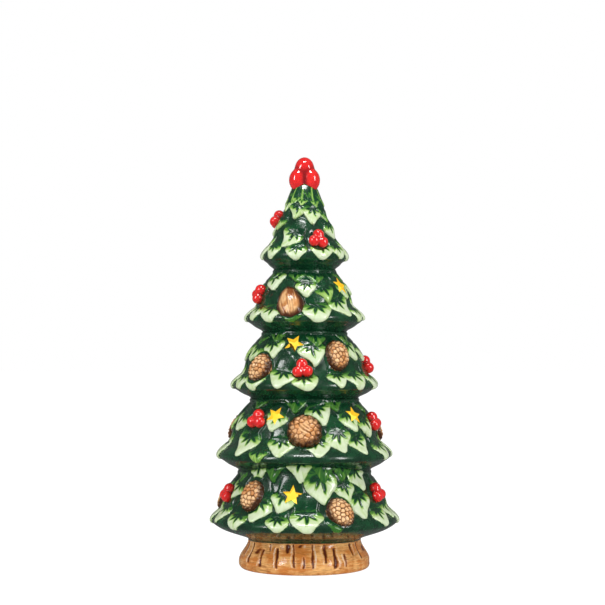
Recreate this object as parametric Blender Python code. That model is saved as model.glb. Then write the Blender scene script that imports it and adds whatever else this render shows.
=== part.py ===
"""A lit ceramic Christmas tree: a hollow glazed shell of five leafy tiers with star-shaped holes,
cones, nuts and berries set on it, a flared trunk that it stands on, and a battery light unit that
plugs into the trunk from below.

Metres, +Z up, the origin on the table under the tree's axis. Azimuths are counted from the front,
-Y, and grow towards +X.
"""

import math

import bmesh
import bpy
import numpy as np
from mathutils import Matrix, Vector

TAU = 2.0 * math.pi
MM = 0.001
GAP = 0.0003  # left between two pieces that rest on each other

# The shell, measured over the leaf tips. Tiers run from the top down.
CROWN_Z = 0.2804
CROWN_RADIUS = 0.0097
HEM_Z = (0.2303, 0.1848, 0.1355, 0.0840, 0.0358)
HEM_RADIUS = (0.0336, 0.0455, 0.0556, 0.0661, 0.0709)
WAIST_Z = (0.2210, 0.1747, 0.1256, 0.0725)
WAIST_RADIUS = (0.0228, 0.0312, 0.0400, 0.0490)
NECK_Z = 0.0213
NECK_RADIUS = 0.0418
WALL = 0.0040
FACE_WALL = 0.0026  # behind the ground between the leaves
RIM_SEGMENTS = 48
LIP = 0.0042  # a leaf's end curls round a quarter circle of this radius at the hem
LIP_END = 1.3  # where the curl ends, on the scale of outline()
GROUND_LIP = 0.0012  # the same radius between the leaves

# The two swells of a tier's face: the upper row of leaves, then the kick of the hem.
SHOULDER_SHARE = 0.62
SHOULDER_END = 0.62
SHOULDER_POWER = (1.0, 1.6, 1.6, 1.6, 1.3)
HEM_START = 0.66

# The hollow inside the shell.
HOLLOW_SEGMENTS = 24
HOLLOW_TOP_DEPTH = 0.0090
HOLLOW_TOP_RADIUS = 0.0030
HEM_WALL = 0.0064

# The leaves. A leaf's own sizes are shares of its width, and its heights are shares of the relief.
LEAF_RELIEF = 0.0036  # the ground between the leaves lies this far inside the outline
LEAF_MIDDLE = 0.62  # from the tip to the middle
LEAF_CORE = 0.41
LEAF_LOBES = ((0.0, 30.0, 0.21), (80.0, 26.0, 0.13), (146.0, 24.0, 0.06))  # direction, spread, reach
LEAF_LENGTH = 1.30
LEAF_ROOT_HEIGHT = 0.34
LEAF_TIP_HEIGHT = 0.94
LEAF_ROUND = 0.0034  # the leaf rises from the ground over this way in from its edge
LEAF_START = 0.0045  # the leaves rise out of the crease above over this way
LEAF_FADE = (1.10, 1.55)  # and on the underside they end between these places of outline()
GROUND_FADE = (1.40, 1.90)  # and the ground comes out to the foot between these
TIP_WRAP = 0.0060  # how far a hem leaf's tip lies round the lip
TIP_WRAP_FROM = 0.80
LEAF_STEP = 0.0018  # steps of the fine grid that the leaves are worked out on
LEAF_FACES = (1000, 1400, 1700, 2100, 2300)  # triangles left of that grid on each tier
NEST_HEIGHT = 0.55  # the leaves give way to even ground round an ornament
NEST_RING = 0.0022
STAR_GROUND = 0.42  # and round a star hole
STAR_GROUND_REACH = (1.02, 1.47)

# Star holes: radius of the points and of the notches.
STAR_RADIUS = 0.0075
STAR_NOTCH = 0.0034

# Ornaments.
SPOKES = 18
SEAT_SINK = 0.0020
CONE_HALF_WIDTH = 0.0098
CONE_HALF_HEIGHT = 0.0122
CONE_THICKNESS = 0.0062
CONE_SCALES = 0.0007
ROUND_CONE_HALF = 0.0124
NUT_HALF_WIDTH = 0.0090
NUT_HALF_HEIGHT = 0.0120
NUT_THICKNESS = 0.0060
BERRY_RADIUS = 0.0039
BERRY_NEST = 0.0012  # how far two berries of a cluster run into each other
BERRY_RISE = 0.0022

# The berry finial on the crown.
FINIAL_SIDE_RADIUS = 0.0064
FINIAL_SIDE_TALL = 1.25
FINIAL_SIDE_RISE = 0.0071
FINIAL_TOP_RADIUS = 0.0075
FINIAL_NEST = 0.0020

# The trunk.
TRUNK_FOOT_RADIUS = 0.0489
TRUNK_FOOT_Z = 0.0049
TRUNK_EDGE_ROUND = 0.0034
TRUNK_FLOOR = 0.0040
TRUNK_SEGMENTS = 48
FLUTE_DEPTH = 0.0008

# The light unit, built round three AAA cells.
CELL_LENGTH = 0.0445
CELL_RADIUS = 0.00525
CELL_PITCH = 0.0110
CELL_NUB_RADIUS = 0.0019
CELL_NUB_HEIGHT = 0.0010
CELL_PLAY = 0.0004
CONTACT_SPACE = 0.0024
CONTACT_SHEET = 0.0005
CONTACT_BACK_PLAY = 0.0003
TAB_LENGTH = 0.0060
TAB_WIDTH = 0.0040
TAB_SPACE = 0.0016
UNIT_WALL = 0.0016
UNIT_RECESS = 0.0018
FLANGE_LAP = 0.0030
FLANGE_PLAY = 0.0010
GASKET_THICKNESS = 0.0014
GASKET_HEIGHT = 0.0034
DOOR_PLAY = 0.0004
DOOR_LAP = 0.0008
NAIL_NOTCH_RADIUS = 0.0035
BOARD_MARGIN = 0.0007  # from a screw's head to the board's edge
BOARD_THICKNESS = 0.0016
DIFFUSER_PLAY = 0.0010
DIFFUSER_WALL = 0.0015
DIFFUSER_SKIRT = 0.0070
LED_COUNT = 3
LED_RING = 0.0090
LED_RADIUS = 0.0025
LED_RIM_RADIUS = 0.0029
LED_RIM_HEIGHT = 0.0010
LED_BODY_HEIGHT = 0.0055
LEAD_RADIUS = 0.0006
LEAD_HOLE_PLAY = 0.0004
LEAD_STANDS = 0.0008
SCREW_RADIUS = 0.0010
SCREW_HEAD_RADIUS = 0.0019
SCREW_HEAD_HEIGHT = 0.0012
UNIT_SEGMENTS = 36

# The slide switch beside the battery door.
SWITCH_LENGTH = 0.0086
SWITCH_WIDTH = 0.0036
SWITCH_HEIGHT = 0.0038
SWITCH_SETBACK = 0.0028  # from the cell bay's wall to the switch's near side
KNOB_LENGTH = 0.0020
KNOB_WIDTH = 0.0018
KNOB_STANDS = 0.0009
SWITCH_TRAVEL = 0.0020

# What sits where on the shell. For each tier, counted from the top: azimuth in degrees, how far down
# the tier's face as a share of its height, and its turn in degrees, clockwise seen from outside.
STARS = {
    2: ((58, 0.33, 10), (228, 0.35, 30)),
    3: ((-12, 0.21, 24), (112, 0.22, 8), (238, 0.21, 40)),
    4: ((-26, 0.26, 25), (48, 0.26, 12), (118, 0.25, 35), (226, 0.27, 5)),
    5: ((-9, 0.37, 5), (92, 0.34, 20), (218, 0.37, 30)),
}
CONES = {
    3: ((-45, 0.63, 12), (35, 0.43, 5), (150, 0.63, -10), (205, 0.43, 8)),
    4: ((105, 0.52, 10), (250, 0.52, -8)),
    5: ((-41, 0.41, 14), (24, 0.71, -10), (118, 0.555, 8), (175, 0.61, -12), (255, 0.555, 5)),
}
ROUND_CONES = {
    4: ((0, 0.505, 0), (178, 0.505, 0)),
}
NUTS = {
    2: ((-17, 0.68, -4), (165, 0.68, 6)),
}
BERRIES = {
    1: ((22, 0.75, 0), (150, 0.75, 10), (-101, 0.45, 0)),
    2: ((-73, 0.52, 20), (128, 0.58, 0)),
    3: ((-2, 0.66, -15), (92, 0.63, 10), (178, 0.68, 0)),
    4: ((-42, 0.35, 8), (75, 0.42, 0), (214, 0.64, 12)),
    5: ((64, 0.42, 0), (146, 0.34, 10), (-72, 0.45, 0)),
}

# The leaves in front, placed one by one: azimuth, share down the face of the tip, width in
# millimetres, and tilt in degrees, clockwise seen from outside.
FRONT_LEAVES = {
    1: (
        (-82, 0.97, 19, 0), (-52, 0.96, 16, 6), (-13, 1.00, 17, 4), (27, 1.00, 19, -4), (58, 0.97, 17, -8),
        (84, 1.00, 18, 0), (18, 0.54, 18, 6), (-35, 0.86, 20, 28), (68, 0.76, 17, -14), (-68, 0.62, 15, 10),
        (-25, 0.46, 16, 10), (58, 0.50, 14, -6), (-60, 0.34, 13, 0), (40, 0.30, 12, 0), (0, 0.26, 12, 0),
    ),
    2: (
        (-89, 0.98, 21, 0), (-62, 0.95, 19, 8), (-37, 1.00, 21, 0), (-12, 1.02, 17, 0), (13, 1.05, 24, 0),
        (49, 0.91, 22, -14), (68, 0.97, 18, -4), (89, 0.95, 21, 0), (2, 0.62, 17, 0), (-42, 0.46, 19, -24),
        (30, 0.70, 17, -12), (64, 0.62, 18, -12), (-76, 0.60, 17, 8), (16, 0.34, 15, 4), (-12, 0.30, 15, 0),
        (86, 0.55, 16, 0), (-60, 0.26, 15, 0), (70, 0.28, 15, 0),
    ),
    3: (
        (-87, 1.00, 22, 0), (-64, 0.97, 19, 6), (-45, 1.00, 19, 0), (-21, 0.95, 22, 6), (3, 1.02, 20, -10),
        (29, 0.94, 17, 0), (50, 0.98, 22, -6), (74, 1.00, 21, 0), (97, 1.00, 21, 0), (-32, 0.51, 19, -16),
        (9, 0.66, 22, -2), (60, 0.55, 20, -16), (-66, 0.56, 19, 22), (14, 0.30, 16, 0), (-36, 0.22, 15, 0),
        (56, 0.26, 16, 0), (82, 0.56, 19, -6), (-84, 0.50, 18, 0), (-62, 0.26, 15, 0),
    ),
    4: (
        (-83, 1.00, 23, 0), (-50, 0.91, 25, 10), (-32, 0.98, 17, 0), (-16, 0.91, 22, -6), (9, 0.91, 22, 2),
        (27, 0.87, 23, -4), (45, 0.89, 20, -8), (68, 0.97, 22, -6), (95, 1.00, 23, 0), (-27, 0.56, 19, 10),
        (16, 0.45, 21, -14), (44, 0.57, 21, -14), (62, 0.68, 20, -14), (-68, 0.58, 20, 20),
        (80, 0.58, 20, -4), (-88, 0.57, 19, 0), (-8, 0.24, 17, 0), (30, 0.22, 16, 0), (-50, 0.20, 16, 0),
        (70, 0.26, 16, 0),
    ),
    5: (
        (-88, 1.00, 22, 0), (-69, 0.92, 20, 6), (-48, 1.00, 20, 4), (-34, 0.88, 24, 4), (-17, 0.99, 18, 0),
        (1, 1.02, 25, 0), (20, 0.99, 18, 0), (42, 0.85, 25, -4), (59, 0.95, 21, -8), (88, 1.00, 23, 0),
        (74, 0.88, 20, -8), (14, 0.58, 25, -6), (33, 0.55, 18, -8), (-18, 0.75, 19, 14), (-4, 0.23, 17, 4),
        (-40, 0.23, 17, 0), (52, 0.34, 22, -22), (-66, 0.54, 20, 24), (78, 0.52, 20, -8), (-88, 0.54, 20, 6),
        (14, 0.23, 18, 0), (-24, 0.21, 17, 0), (30, 0.21, 17, 0), (-62, 0.23, 16, 0),
    ),
}
# The rows that go on round the back: how many leaves, share down the face and width in millimetres.
BACK_ROWS = {
    1: ((5, 1.00, 18), (4, 0.70, 17), (3, 0.36, 13)),
    2: ((6, 0.97, 21), (6, 0.60, 19), (5, 0.28, 16)),
    3: ((7, 0.99, 21), (7, 0.58, 20), (6, 0.26, 16)),
    4: ((8, 0.96, 22), (8, 0.59, 21), (7, 0.26, 17)),
    5: ((9, 0.97, 23), (8, 0.60, 22), (8, 0.25, 18)),
}
BACK_FROM, BACK_TO = 100.0, 262.0
WOBBLE = (0.0, 0.55, -0.4, 0.2, -0.7, 0.45, -0.15, 0.6, -0.5)  # uneven spacing, as by hand
WOBBLE_TURN = 14.0  # degrees of tilt, share of the spacing, of the height and of the width
WOBBLE_ASIDE = 0.18
WOBBLE_DOWN = 0.035
WOBBLE_WIDTH = 0.07

# Finishes: colour, roughness, metallic.
GLAZE_GREEN = ((0.020, 0.120, 0.045), 0.12, 0.0)
GLAZE_BARK = ((0.520, 0.230, 0.070), 0.20, 0.0)
GLAZE_CONE = ((0.420, 0.190, 0.070), 0.25, 0.0)
GLAZE_NUT = ((0.560, 0.270, 0.110), 0.22, 0.0)
GLAZE_RED = ((0.750, 0.015, 0.015), 0.10, 0.0)
PLASTIC_IVORY = ((0.780, 0.760, 0.700), 0.45, 0.0)
PLASTIC_BLACK = ((0.030, 0.030, 0.032), 0.45, 0.0)
PLASTIC_FROSTED = ((0.950, 0.880, 0.620), 0.55, 0.0)
LENS_WARM = ((0.980, 0.850, 0.450), 0.15, 0.0)
RUBBER_GREY = ((0.300, 0.300, 0.300), 0.80, 0.0)
BOARD_GREEN = ((0.030, 0.220, 0.090), 0.40, 0.0)
SPRING_STEEL = ((0.700, 0.700, 0.720), 0.30, 1.0)
CELL_ZINC = ((0.350, 0.350, 0.370), 0.35, 0.6)
LEAD_RED = ((0.600, 0.020, 0.020), 0.40, 0.0)
LEAD_BLACK = ((0.015, 0.015, 0.015), 0.40, 0.0)


# Plain helpers


def mix(a, b, share):
    return a + (b - a) * share


def smooth(x):
    """An even S-curve from 0 at x = 0 to 1 at x = 1, for numbers and arrays."""
    x = np.clip(x, 0.0, 1.0)
    return x * x * (3.0 - 2.0 * x)


def fade(x, start, end):
    """From 1 at the start to 0 at the end."""
    return 1.0 - smooth((x - start) / (end - start))


def around(radius, azimuth, z):
    """The point at this radius and azimuth, in radians from the front."""
    return Vector((radius * math.sin(azimuth), -radius * math.cos(azimuth), z))


def material(finish):
    colour, roughness, metallic = finish
    name = "finish_" + "_".join(f"{round(255 * c):03d}" for c in colour)
    found = bpy.data.materials.get(name) or bpy.data.materials.new(name)
    found.use_nodes = True
    shader = found.node_tree.nodes["Principled BSDF"]
    shader.inputs["Base Color"].default_value = (*colour, 1.0)
    shader.inputs["Roughness"].default_value = roughness
    shader.inputs["Metallic"].default_value = metallic
    return found


def mesh_of(name, points, faces):
    mesh = bpy.data.meshes.new(name)
    mesh.from_pydata([tuple(p) for p in points], [], faces)
    mesh.validate()
    return mesh


def place(name, mesh, finish, matrix=None, parent=None):
    """An object of this mesh in the scene, shaded smooth but for its sharp edges."""
    thing = bpy.data.objects.new(name, mesh)
    bpy.context.scene.collection.objects.link(thing)
    if matrix is not None:
        thing.matrix_world = matrix
    if parent is not None:
        thing.parent = parent
        thing.matrix_parent_inverse = parent.matrix_world.inverted()
    if finish is not None and not mesh.materials:
        mesh.materials.append(material(finish))
        mesh.shade_smooth()
        mesh.set_sharp_from_angle(angle=math.radians(35))
    return thing


def cut(thing, cutter, operation="DIFFERENCE"):
    """A Boolean on thing, with the cutter kept in the scene as a hidden guide."""
    cutter.hide_render = True
    cutter.display_type = "WIRE"
    step = thing.modifiers.new(operation.lower(), "BOOLEAN")
    step.operation = operation
    step.solver = "EXACT"
    step.object = cutter


def band(upper, lower):
    """Faces between two rings of point numbers, quads where they have as many points, and
    otherwise triangles that keep step round the ring."""
    above, below = len(upper), len(lower)
    if above == below:
        turns = [(a, (a + 1) % above) for a in range(above)]
        return [(upper[b], upper[a], lower[a], lower[b]) for a, b in turns]
    faces = []
    a = b = 0
    while a < above or b < below:
        if b == below or (a < above and (a + 1) * below <= (b + 1) * above):
            faces.append((upper[(a + 1) % above], upper[a], lower[b % below]))
            a += 1
        else:
            faces.append((lower[b], lower[(b + 1) % below], upper[a % above]))
            b += 1
    return faces


def rings_mesh(name, rings, closed):
    """Rings of points joined by faces. closed joins the last ring to the first, otherwise both ends
    are capped. Rings run counterclockwise seen from above, and from the top down."""
    points = []
    numbers = []
    for ring in rings:
        numbers.append(range(len(points), len(points) + len(ring)))
        points += ring
    pairs = list(zip(numbers, numbers[1:]))
    if closed:
        pairs.append((numbers[-1], numbers[0]))
    faces = [face for upper, lower in pairs for face in band(upper, lower)]
    if not closed:
        faces.append(tuple(numbers[0]))
        faces.append(tuple(reversed(numbers[-1])))
    return mesh_of(name, points, faces)


def circle(radius, z, segments):
    return [around(radius, TAU * a / segments, z) for a in range(segments)]


def turned_ring(name, profile, segments):
    """A hollow turned shape: profile is a closed loop of (radius, z), down its outside and up its
    inside."""
    return rings_mesh(name, [circle(r, z, segments) for r, z in profile], closed=True)


def turned_solid(name, profile, segments):
    """A turned shape with flat ends: profile runs from the top down its outside."""
    return rings_mesh(name, [circle(r, z, segments) for r, z in profile], closed=False)


def block_mesh(name, low, high):
    """A box between two corners."""
    corners = [(x, y, z) for z in (high[2], low[2]) for x, y in (
        (low[0], low[1]), (high[0], low[1]), (high[0], high[1]), (low[0], high[1]))]
    rings = [[Vector(c) for c in corners[:4]], [Vector(c) for c in corners[4:]]]
    return rings_mesh(name, rings, closed=False)


def joined(name, meshes):
    """Several closed meshes in one, for a cutter whose parts don't meet."""
    points, faces = [], []
    for mesh in meshes:
        start = len(points)
        points += [v.co.copy() for v in mesh.vertices]
        faces += [tuple(start + v for v in face.vertices) for face in mesh.polygons]
    return mesh_of(name, points, faces)


# The shell


def tier_ends(tier):
    """(z, radius) at the top, hem and foot of a tier, counted from 1."""
    tops = ((CROWN_Z, CROWN_RADIUS), *zip(WAIST_Z, WAIST_RADIUS))
    feet = (*zip(WAIST_Z, WAIST_RADIUS), (NECK_Z, NECK_RADIUS))
    return tops[tier - 1], (HEM_Z[tier - 1], HEM_RADIUS[tier - 1]), feet[tier - 1]


def flare(tier, t):
    """How far out a tier's face has come, from 0 at its top to 1 at its hem: the upper row of
    leaves swells out and levels off, and then the hem kicks out."""
    swell = 1.0 - np.clip(1.0 - t / SHOULDER_END, 0.0, 1.0) ** SHOULDER_POWER[tier - 1]
    kick = smooth((t - HEM_START) / (1.0 - HEM_START))
    return SHOULDER_SHARE * swell + (1.0 - SHOULDER_SHARE) * kick


def outline(tier, s, lip=LIP):
    """(radius, z) over the leaf tips: s runs 0 to 1 down the face, on to LIP_END round the lip, and to
    2 along the underside. s is a number or an array."""
    (top_z, top_r), (hem_z, hem_r), (foot_z, foot_r) = tier_ends(tier)
    curl = TAU / 4.0 * np.clip((s - 1.0) / (LIP_END - 1.0), 0.0, 1.0)
    lip_r, lip_z = hem_r - lip * (1.0 - np.cos(curl)), hem_z - lip * np.sin(curl)
    under = np.clip((s - LIP_END) / (2.0 - LIP_END), 0.0, 1.0)
    radius = np.where(s <= 1.0, mix(top_r, hem_r, flare(tier, s)), mix(lip_r, foot_r, smooth(under)))
    z = np.where(s <= 1.0, mix(top_z, hem_z, s), mix(lip_z, foot_z, under))
    return radius, z


def way_down(tier):
    """Even steps down a tier, from its top to its foot: the place of each on the scale of outline(),
    and how far down the surface it lies."""
    s = np.linspace(0.0, 2.0, 1001)
    radius, z = outline(tier, s)
    way = np.concatenate(((0.0,), np.cumsum(np.hypot(np.diff(radius), np.diff(z)))))
    down = np.linspace(0.0, way[-1], round(way[-1] / LEAF_STEP))
    return np.interp(down, way, s), down


def leaves_of(tier):
    """(azimuth, share, width in mm, tilt) of every leaf. Round the back, rows are staggered, and each
    leaf is off its even place by a little wobble that also tilts it."""
    leaves = list(FRONT_LEAVES[tier])
    for row, (count, share, width) in enumerate(BACK_ROWS[tier]):
        spacing = (BACK_TO - BACK_FROM) / count
        for i in range(count):
            wobble = WOBBLE[(3 * i + 2 * row + tier) % len(WOBBLE)]
            azimuth = BACK_FROM + spacing * (i + 0.5 + 0.5 * (row % 2) + WOBBLE_ASIDE * wobble)
            leaves.append((azimuth, share + WOBBLE_DOWN * wobble, width * (1.0 + WOBBLE_WIDTH * wobble),
                           WOBBLE_TURN * wobble))
    return leaves


def leaf_height(across, up, width):
    """How high a leaf stands at points across and up from its tip: a pillow inside a circle with a
    bulge for each lobe, 0 outside it, and higher towards its tip."""
    y = up - LEAF_MIDDLE * width
    distance = np.hypot(across, y)
    side = np.degrees(np.abs(np.arctan2(across, -y)))
    reach = LEAF_CORE + sum(lobe * np.exp(-(((side - at) / spread) ** 2)) for at, spread, lobe in LEAF_LOBES)
    inside = np.clip((reach * width - distance) / LEAF_ROUND, 0.0, 1.0)
    near_tip = np.clip(1.0 - up / (LEAF_LENGTH * width), 0.0, 1.0)
    return np.sqrt(inside * (2.0 - inside)) * mix(LEAF_ROOT_HEIGHT, LEAF_TIP_HEIGHT, near_tip)


def relief(tier, s, down, azimuths):
    """The highest leaf over each point of a grid, from 0 on the ground to 1 on the outline. The
    leaves fade out at both ends and give way to even ground round holes and ornaments."""
    radius = outline(tier, s)[0][:, None]

    def points_from(azimuth_deg, share, turn_deg, further=0.0):
        """How far right and up of a spot each point lies, in the turned frame of what sits there."""
        turned = (azimuths - math.radians(azimuth_deg) + TAU / 2.0) % TAU - TAU / 2.0
        right = turned[None, :] * radius
        up = (np.interp(share, s, down) + further - down)[:, None]
        turn = math.radians(turn_deg)
        return math.cos(turn) * right - math.sin(turn) * up, math.sin(turn) * right + math.cos(turn) * up

    height = np.zeros((len(s), len(azimuths)))
    for azimuth, share, width, tilt in leaves_of(tier):
        wrap = TIP_WRAP * smooth((share - TIP_WRAP_FROM) / (1.0 - TIP_WRAP_FROM))
        across, up = points_from(azimuth, share, tilt, wrap)
        height = np.maximum(height, leaf_height(across, up, width * MM))
    height *= (smooth(down / LEAF_START) * fade(s, *LEAF_FADE))[:, None]
    for spot in STARS.get(tier, ()):
        x, y = points_from(*spot)
        height = mix(height, STAR_GROUND, fade(np.hypot(x, y) / STAR_RADIUS, *STAR_GROUND_REACH))
    for table, half_width, half_height in ornament_sizes():
        for spot in table.get(tier, ()):
            x, y = points_from(*spot)
            beyond = (np.hypot(x / half_width, y / half_height) - 1.0) * half_width
            height = mix(height, NEST_HEIGHT, fade(beyond, 0.0, NEST_RING))
    return height


def tier_body(tier):
    """One tier of the shell before it is hollowed, and the numbers of its leafy points. Its top stops
    a gap short of the tier above. The first and the last two rings are plain circles, so that the
    ends stay flat when the fine grid between them is thinned."""
    s, down = way_down(tier)
    columns = round(TAU * HEM_RADIUS[tier - 1] / LEAF_STEP)
    azimuths = TAU * np.arange(columns) / columns
    height = relief(tier, s, down, azimuths)
    ground_r, ground_z = outline(tier, s, GROUND_LIP)
    high_r, high_z = outline(tier, s)
    ground_r = ground_r - LEAF_RELIEF * smooth(down / LEAF_START) * fade(s, *GROUND_FADE)
    radius = mix(ground_r[:, None], high_r[:, None], height)
    z = mix(ground_z[:, None], high_z[:, None], height)
    (top_z, top_r), _, (foot_z, foot_r) = tier_ends(tier)
    rings = [circle(top_r, top_z - (GAP if tier > 1 else 0.0), RIM_SEGMENTS)]
    rings.append(circle(radius[1].mean(), z[1].mean(), RIM_SEGMENTS))
    for row in range(2, len(s) - 2):
        rings.append([around(radius[row, a], azimuths[a], z[row, a]) for a in range(columns)])
    rings.append(circle(radius[-2].mean(), z[-2].mean(), RIM_SEGMENTS))
    rings.append(circle(foot_r, foot_z, RIM_SEGMENTS))
    leafy = range(2 * RIM_SEGMENTS, 2 * RIM_SEGMENTS + (len(s) - 4) * columns)
    return rings_mesh(f"tree_tier_{tier}", rings, closed=False), leafy


def thin_out(thing, points, faces):
    """Collapses the edges that matter least until about this many triangles are left, and leaves
    alone what lies outside the numbered points."""
    triangles = sum(len(face.vertices) - 2 for face in thing.data.polygons)
    thing.vertex_groups.new(name="leaves").add(list(points), 1.0, "REPLACE")
    step = thing.modifiers.new("thin out", "DECIMATE")
    step.ratio = faces / triangles
    step.vertex_group = "leaves"


def hollow_outline():
    """(radius, z) of the hollow, from its top down: a wall's thickness inside every waist and
    shoulder, and deeper inside the thick hems."""
    loop = [(HOLLOW_TOP_RADIUS, CROWN_Z - HOLLOW_TOP_DEPTH)]
    for tier in range(1, 6):
        shoulder_r, shoulder_z = outline(tier, 0.5)
        hem_r, hem_z = outline(tier, 1.0)
        foot_r, foot_z = outline(tier, 2.0)
        loop.append((shoulder_r - LEAF_RELIEF - FACE_WALL, shoulder_z))
        loop.append((hem_r - LEAF_RELIEF - HEM_WALL, hem_z + WALL))
        loop.append((foot_r - WALL, foot_z))
    loop.append((NECK_RADIUS - WALL, NECK_Z - WALL))
    return loop


def face_radius(tier, z):
    (top_z, _), (hem_z, _), _ = tier_ends(tier)
    t = min(max((top_z - z) / (top_z - hem_z), 0.0), 1.0)
    return outline(tier, t)[0]


def spots_of(table):
    """(tier, azimuth, share, turn) of everything in one of the tables above."""
    return [(tier, *spot) for tier, spots in table.items() for spot in spots]


def seat_matrix(tier, azimuth_deg, share, turn_deg, half_height, sink=SEAT_SINK):
    """The frame of something set on a tier's face: X to its right, Y up the face and Z straight out.
    Its plane runs along the face over the ornament's height, sunk below the lowest point there."""
    azimuth = math.radians(azimuth_deg)
    (top_z, _), (hem_z, _), _ = tier_ends(tier)
    z = mix(top_z, hem_z, share)
    high_z, low_z = min(z + half_height, top_z), max(z - half_height, hem_z)
    high_r, low_r = face_radius(tier, high_z), face_radius(tier, low_z)
    up = Vector((high_r - low_r, high_z - low_z)).normalized()
    out = Vector((up.y, -up.x))
    samples = [mix(low_z, high_z, i / 8.0) for i in range(9)]
    depths = [(Vector((face_radius(tier, s), s)) - Vector((low_r, low_z))).dot(out) for s in samples]
    middle = Vector((mix(low_r, high_r, 0.5), mix(low_z, high_z, 0.5)))
    middle += out * (min(depths) - sink)
    right = Vector((math.cos(azimuth), math.sin(azimuth), 0.0))
    up_3d = around(up.x, azimuth, up.y)
    out_3d = around(out.x, azimuth, out.y)
    frame = Matrix((right, up_3d, out_3d)).transposed().to_4x4()
    frame.translation = around(middle.x, azimuth, middle.y)
    return frame @ Matrix.Rotation(-math.radians(turn_deg), 4, "Z")


# Ornaments, each modelled flat on its own seat: X right, Y up, Z out


def oval(half_width, half_height):
    """Distance from the middle of an oval to its edge, in a direction, with some play added."""

    def edge(angle, play=0.0):
        wide, high = half_width + play, half_height + play
        return wide * high / math.hypot(high * math.cos(angle), wide * math.sin(angle))

    return edge


def trio_spread(radius, nest):
    """From the middle of three balls in a ring to their own middles."""
    return (2.0 * radius - nest) / math.sqrt(3.0)


def trefoil(angle, play=0.0):
    """Distance to the edge of three berries, one above and two below, with some play added."""
    spread = trio_spread(BERRY_RADIUS, BERRY_NEST)
    lobe = TAU / 3.0
    off = (angle - TAU / 4.0 + lobe / 2.0) % lobe - lobe / 2.0
    across = spread * math.sin(off)
    return spread * math.cos(off) + math.sqrt((BERRY_RADIUS + play) ** 2 - across**2)


def cap_mesh(name, edge, height, shares):
    """A low closed dome on a flat seat. edge gives its outline, height(x, y, share) its surface,
    where share runs from 1 at the edge to 0 in the middle."""
    angles = [TAU * a / SPOKES for a in range(SPOKES)]
    seat = [Vector((edge(a) * math.cos(a), edge(a) * math.sin(a), GAP)) for a in angles]
    rings = []
    for share in shares:
        ring = []
        for a in angles:
            x, y = edge(a) * share * math.cos(a), edge(a) * share * math.sin(a)
            ring.append(Vector((x, y, GAP + height(x, y, share))))
        rings.append(ring)
    return rings_mesh(name, [*reversed(rings), seat], closed=False)


def cone_mesh(name, half_width, half_height):
    """Half a pine cone, its scales in rows that cross each other."""

    def height(x, y, share):
        dome = math.sqrt(max(0.0, 1.0 - share**2))
        scales = math.cos(TAU * 2.0 * (x / half_width + y / half_height) / 2.0)
        scales *= math.cos(TAU * 2.0 * (x / half_width - y / half_height) / 2.0)
        return CONE_THICKNESS * (0.35 + 0.65 * dome) + CONE_SCALES * scales * (1.0 - share**4)

    return cap_mesh(name, oval(half_width, half_height), height, (1.0, 0.82, 0.58, 0.3))


def nut_mesh():
    def height(x, y, share):
        return NUT_THICKNESS * (0.25 + 0.75 * math.sqrt(max(0.0, 1.0 - share**2)))

    return cap_mesh("nut", oval(NUT_HALF_WIDTH, NUT_HALF_HEIGHT), height, (1.0, 0.85, 0.6, 0.3))


def berries_mesh():
    """Three berries grown together: the highest of three balls everywhere."""
    spread = trio_spread(BERRY_RADIUS, BERRY_NEST)
    turns = [TAU / 4.0 + TAU * i / 3.0 for i in range(3)]
    middles = [(spread * math.cos(turn), spread * math.sin(turn)) for turn in turns]

    def height(x, y, share):
        inside = [BERRY_RADIUS**2 - (x - mx) ** 2 - (y - my) ** 2 for mx, my in middles]
        return BERRY_RISE + math.sqrt(max(0.0, *inside))

    return cap_mesh("berries", trefoil, height, (1.0, 0.88, 0.55, 0.2))


def pocket_mesh(matrix, edge, reach):
    """The recess that an ornament is set in: its outline and a gap, from its seat outwards."""
    angles = [TAU * a / SPOKES for a in range(SPOKES)]
    spots = [(edge(a, GAP) * math.cos(a), edge(a, GAP) * math.sin(a)) for a in angles]
    rings = [[matrix @ Vector((x, y, z)) for x, y in spots] for z in (reach, 0.0)]
    return rings_mesh("pocket", rings, closed=False)


def star_cutter_mesh(spot):
    """A star-shaped punch, long enough to pass the wall where it is thickest."""
    matrix = seat_matrix(*spot, STAR_RADIUS, sink=0.0)
    reach = WALL + HEM_WALL + 2.0 * LEAF_RELIEF
    rings = []
    for depth in (STAR_RADIUS, -reach):
        ring = []
        for i in range(10):
            radius = STAR_RADIUS if i % 2 == 0 else STAR_NOTCH
            angle = TAU / 4.0 + TAU * i / 10.0
            at = Vector((radius * math.cos(angle), radius * math.sin(angle), depth))
            ring.append(matrix @ at)
        rings.append(ring)
    return rings_mesh("star_cutter", rings, closed=False)


def berries_half():
    return trio_spread(BERRY_RADIUS, BERRY_NEST) + BERRY_RADIUS


def ornament_sizes():
    """(table, half width, half height) of everything set on the shell."""
    return (
        (CONES, CONE_HALF_WIDTH, CONE_HALF_HEIGHT),
        (ROUND_CONES, ROUND_CONE_HALF, ROUND_CONE_HALF),
        (NUTS, NUT_HALF_WIDTH, NUT_HALF_HEIGHT),
        (BERRIES, berries_half(), berries_half()),
    )


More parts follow.
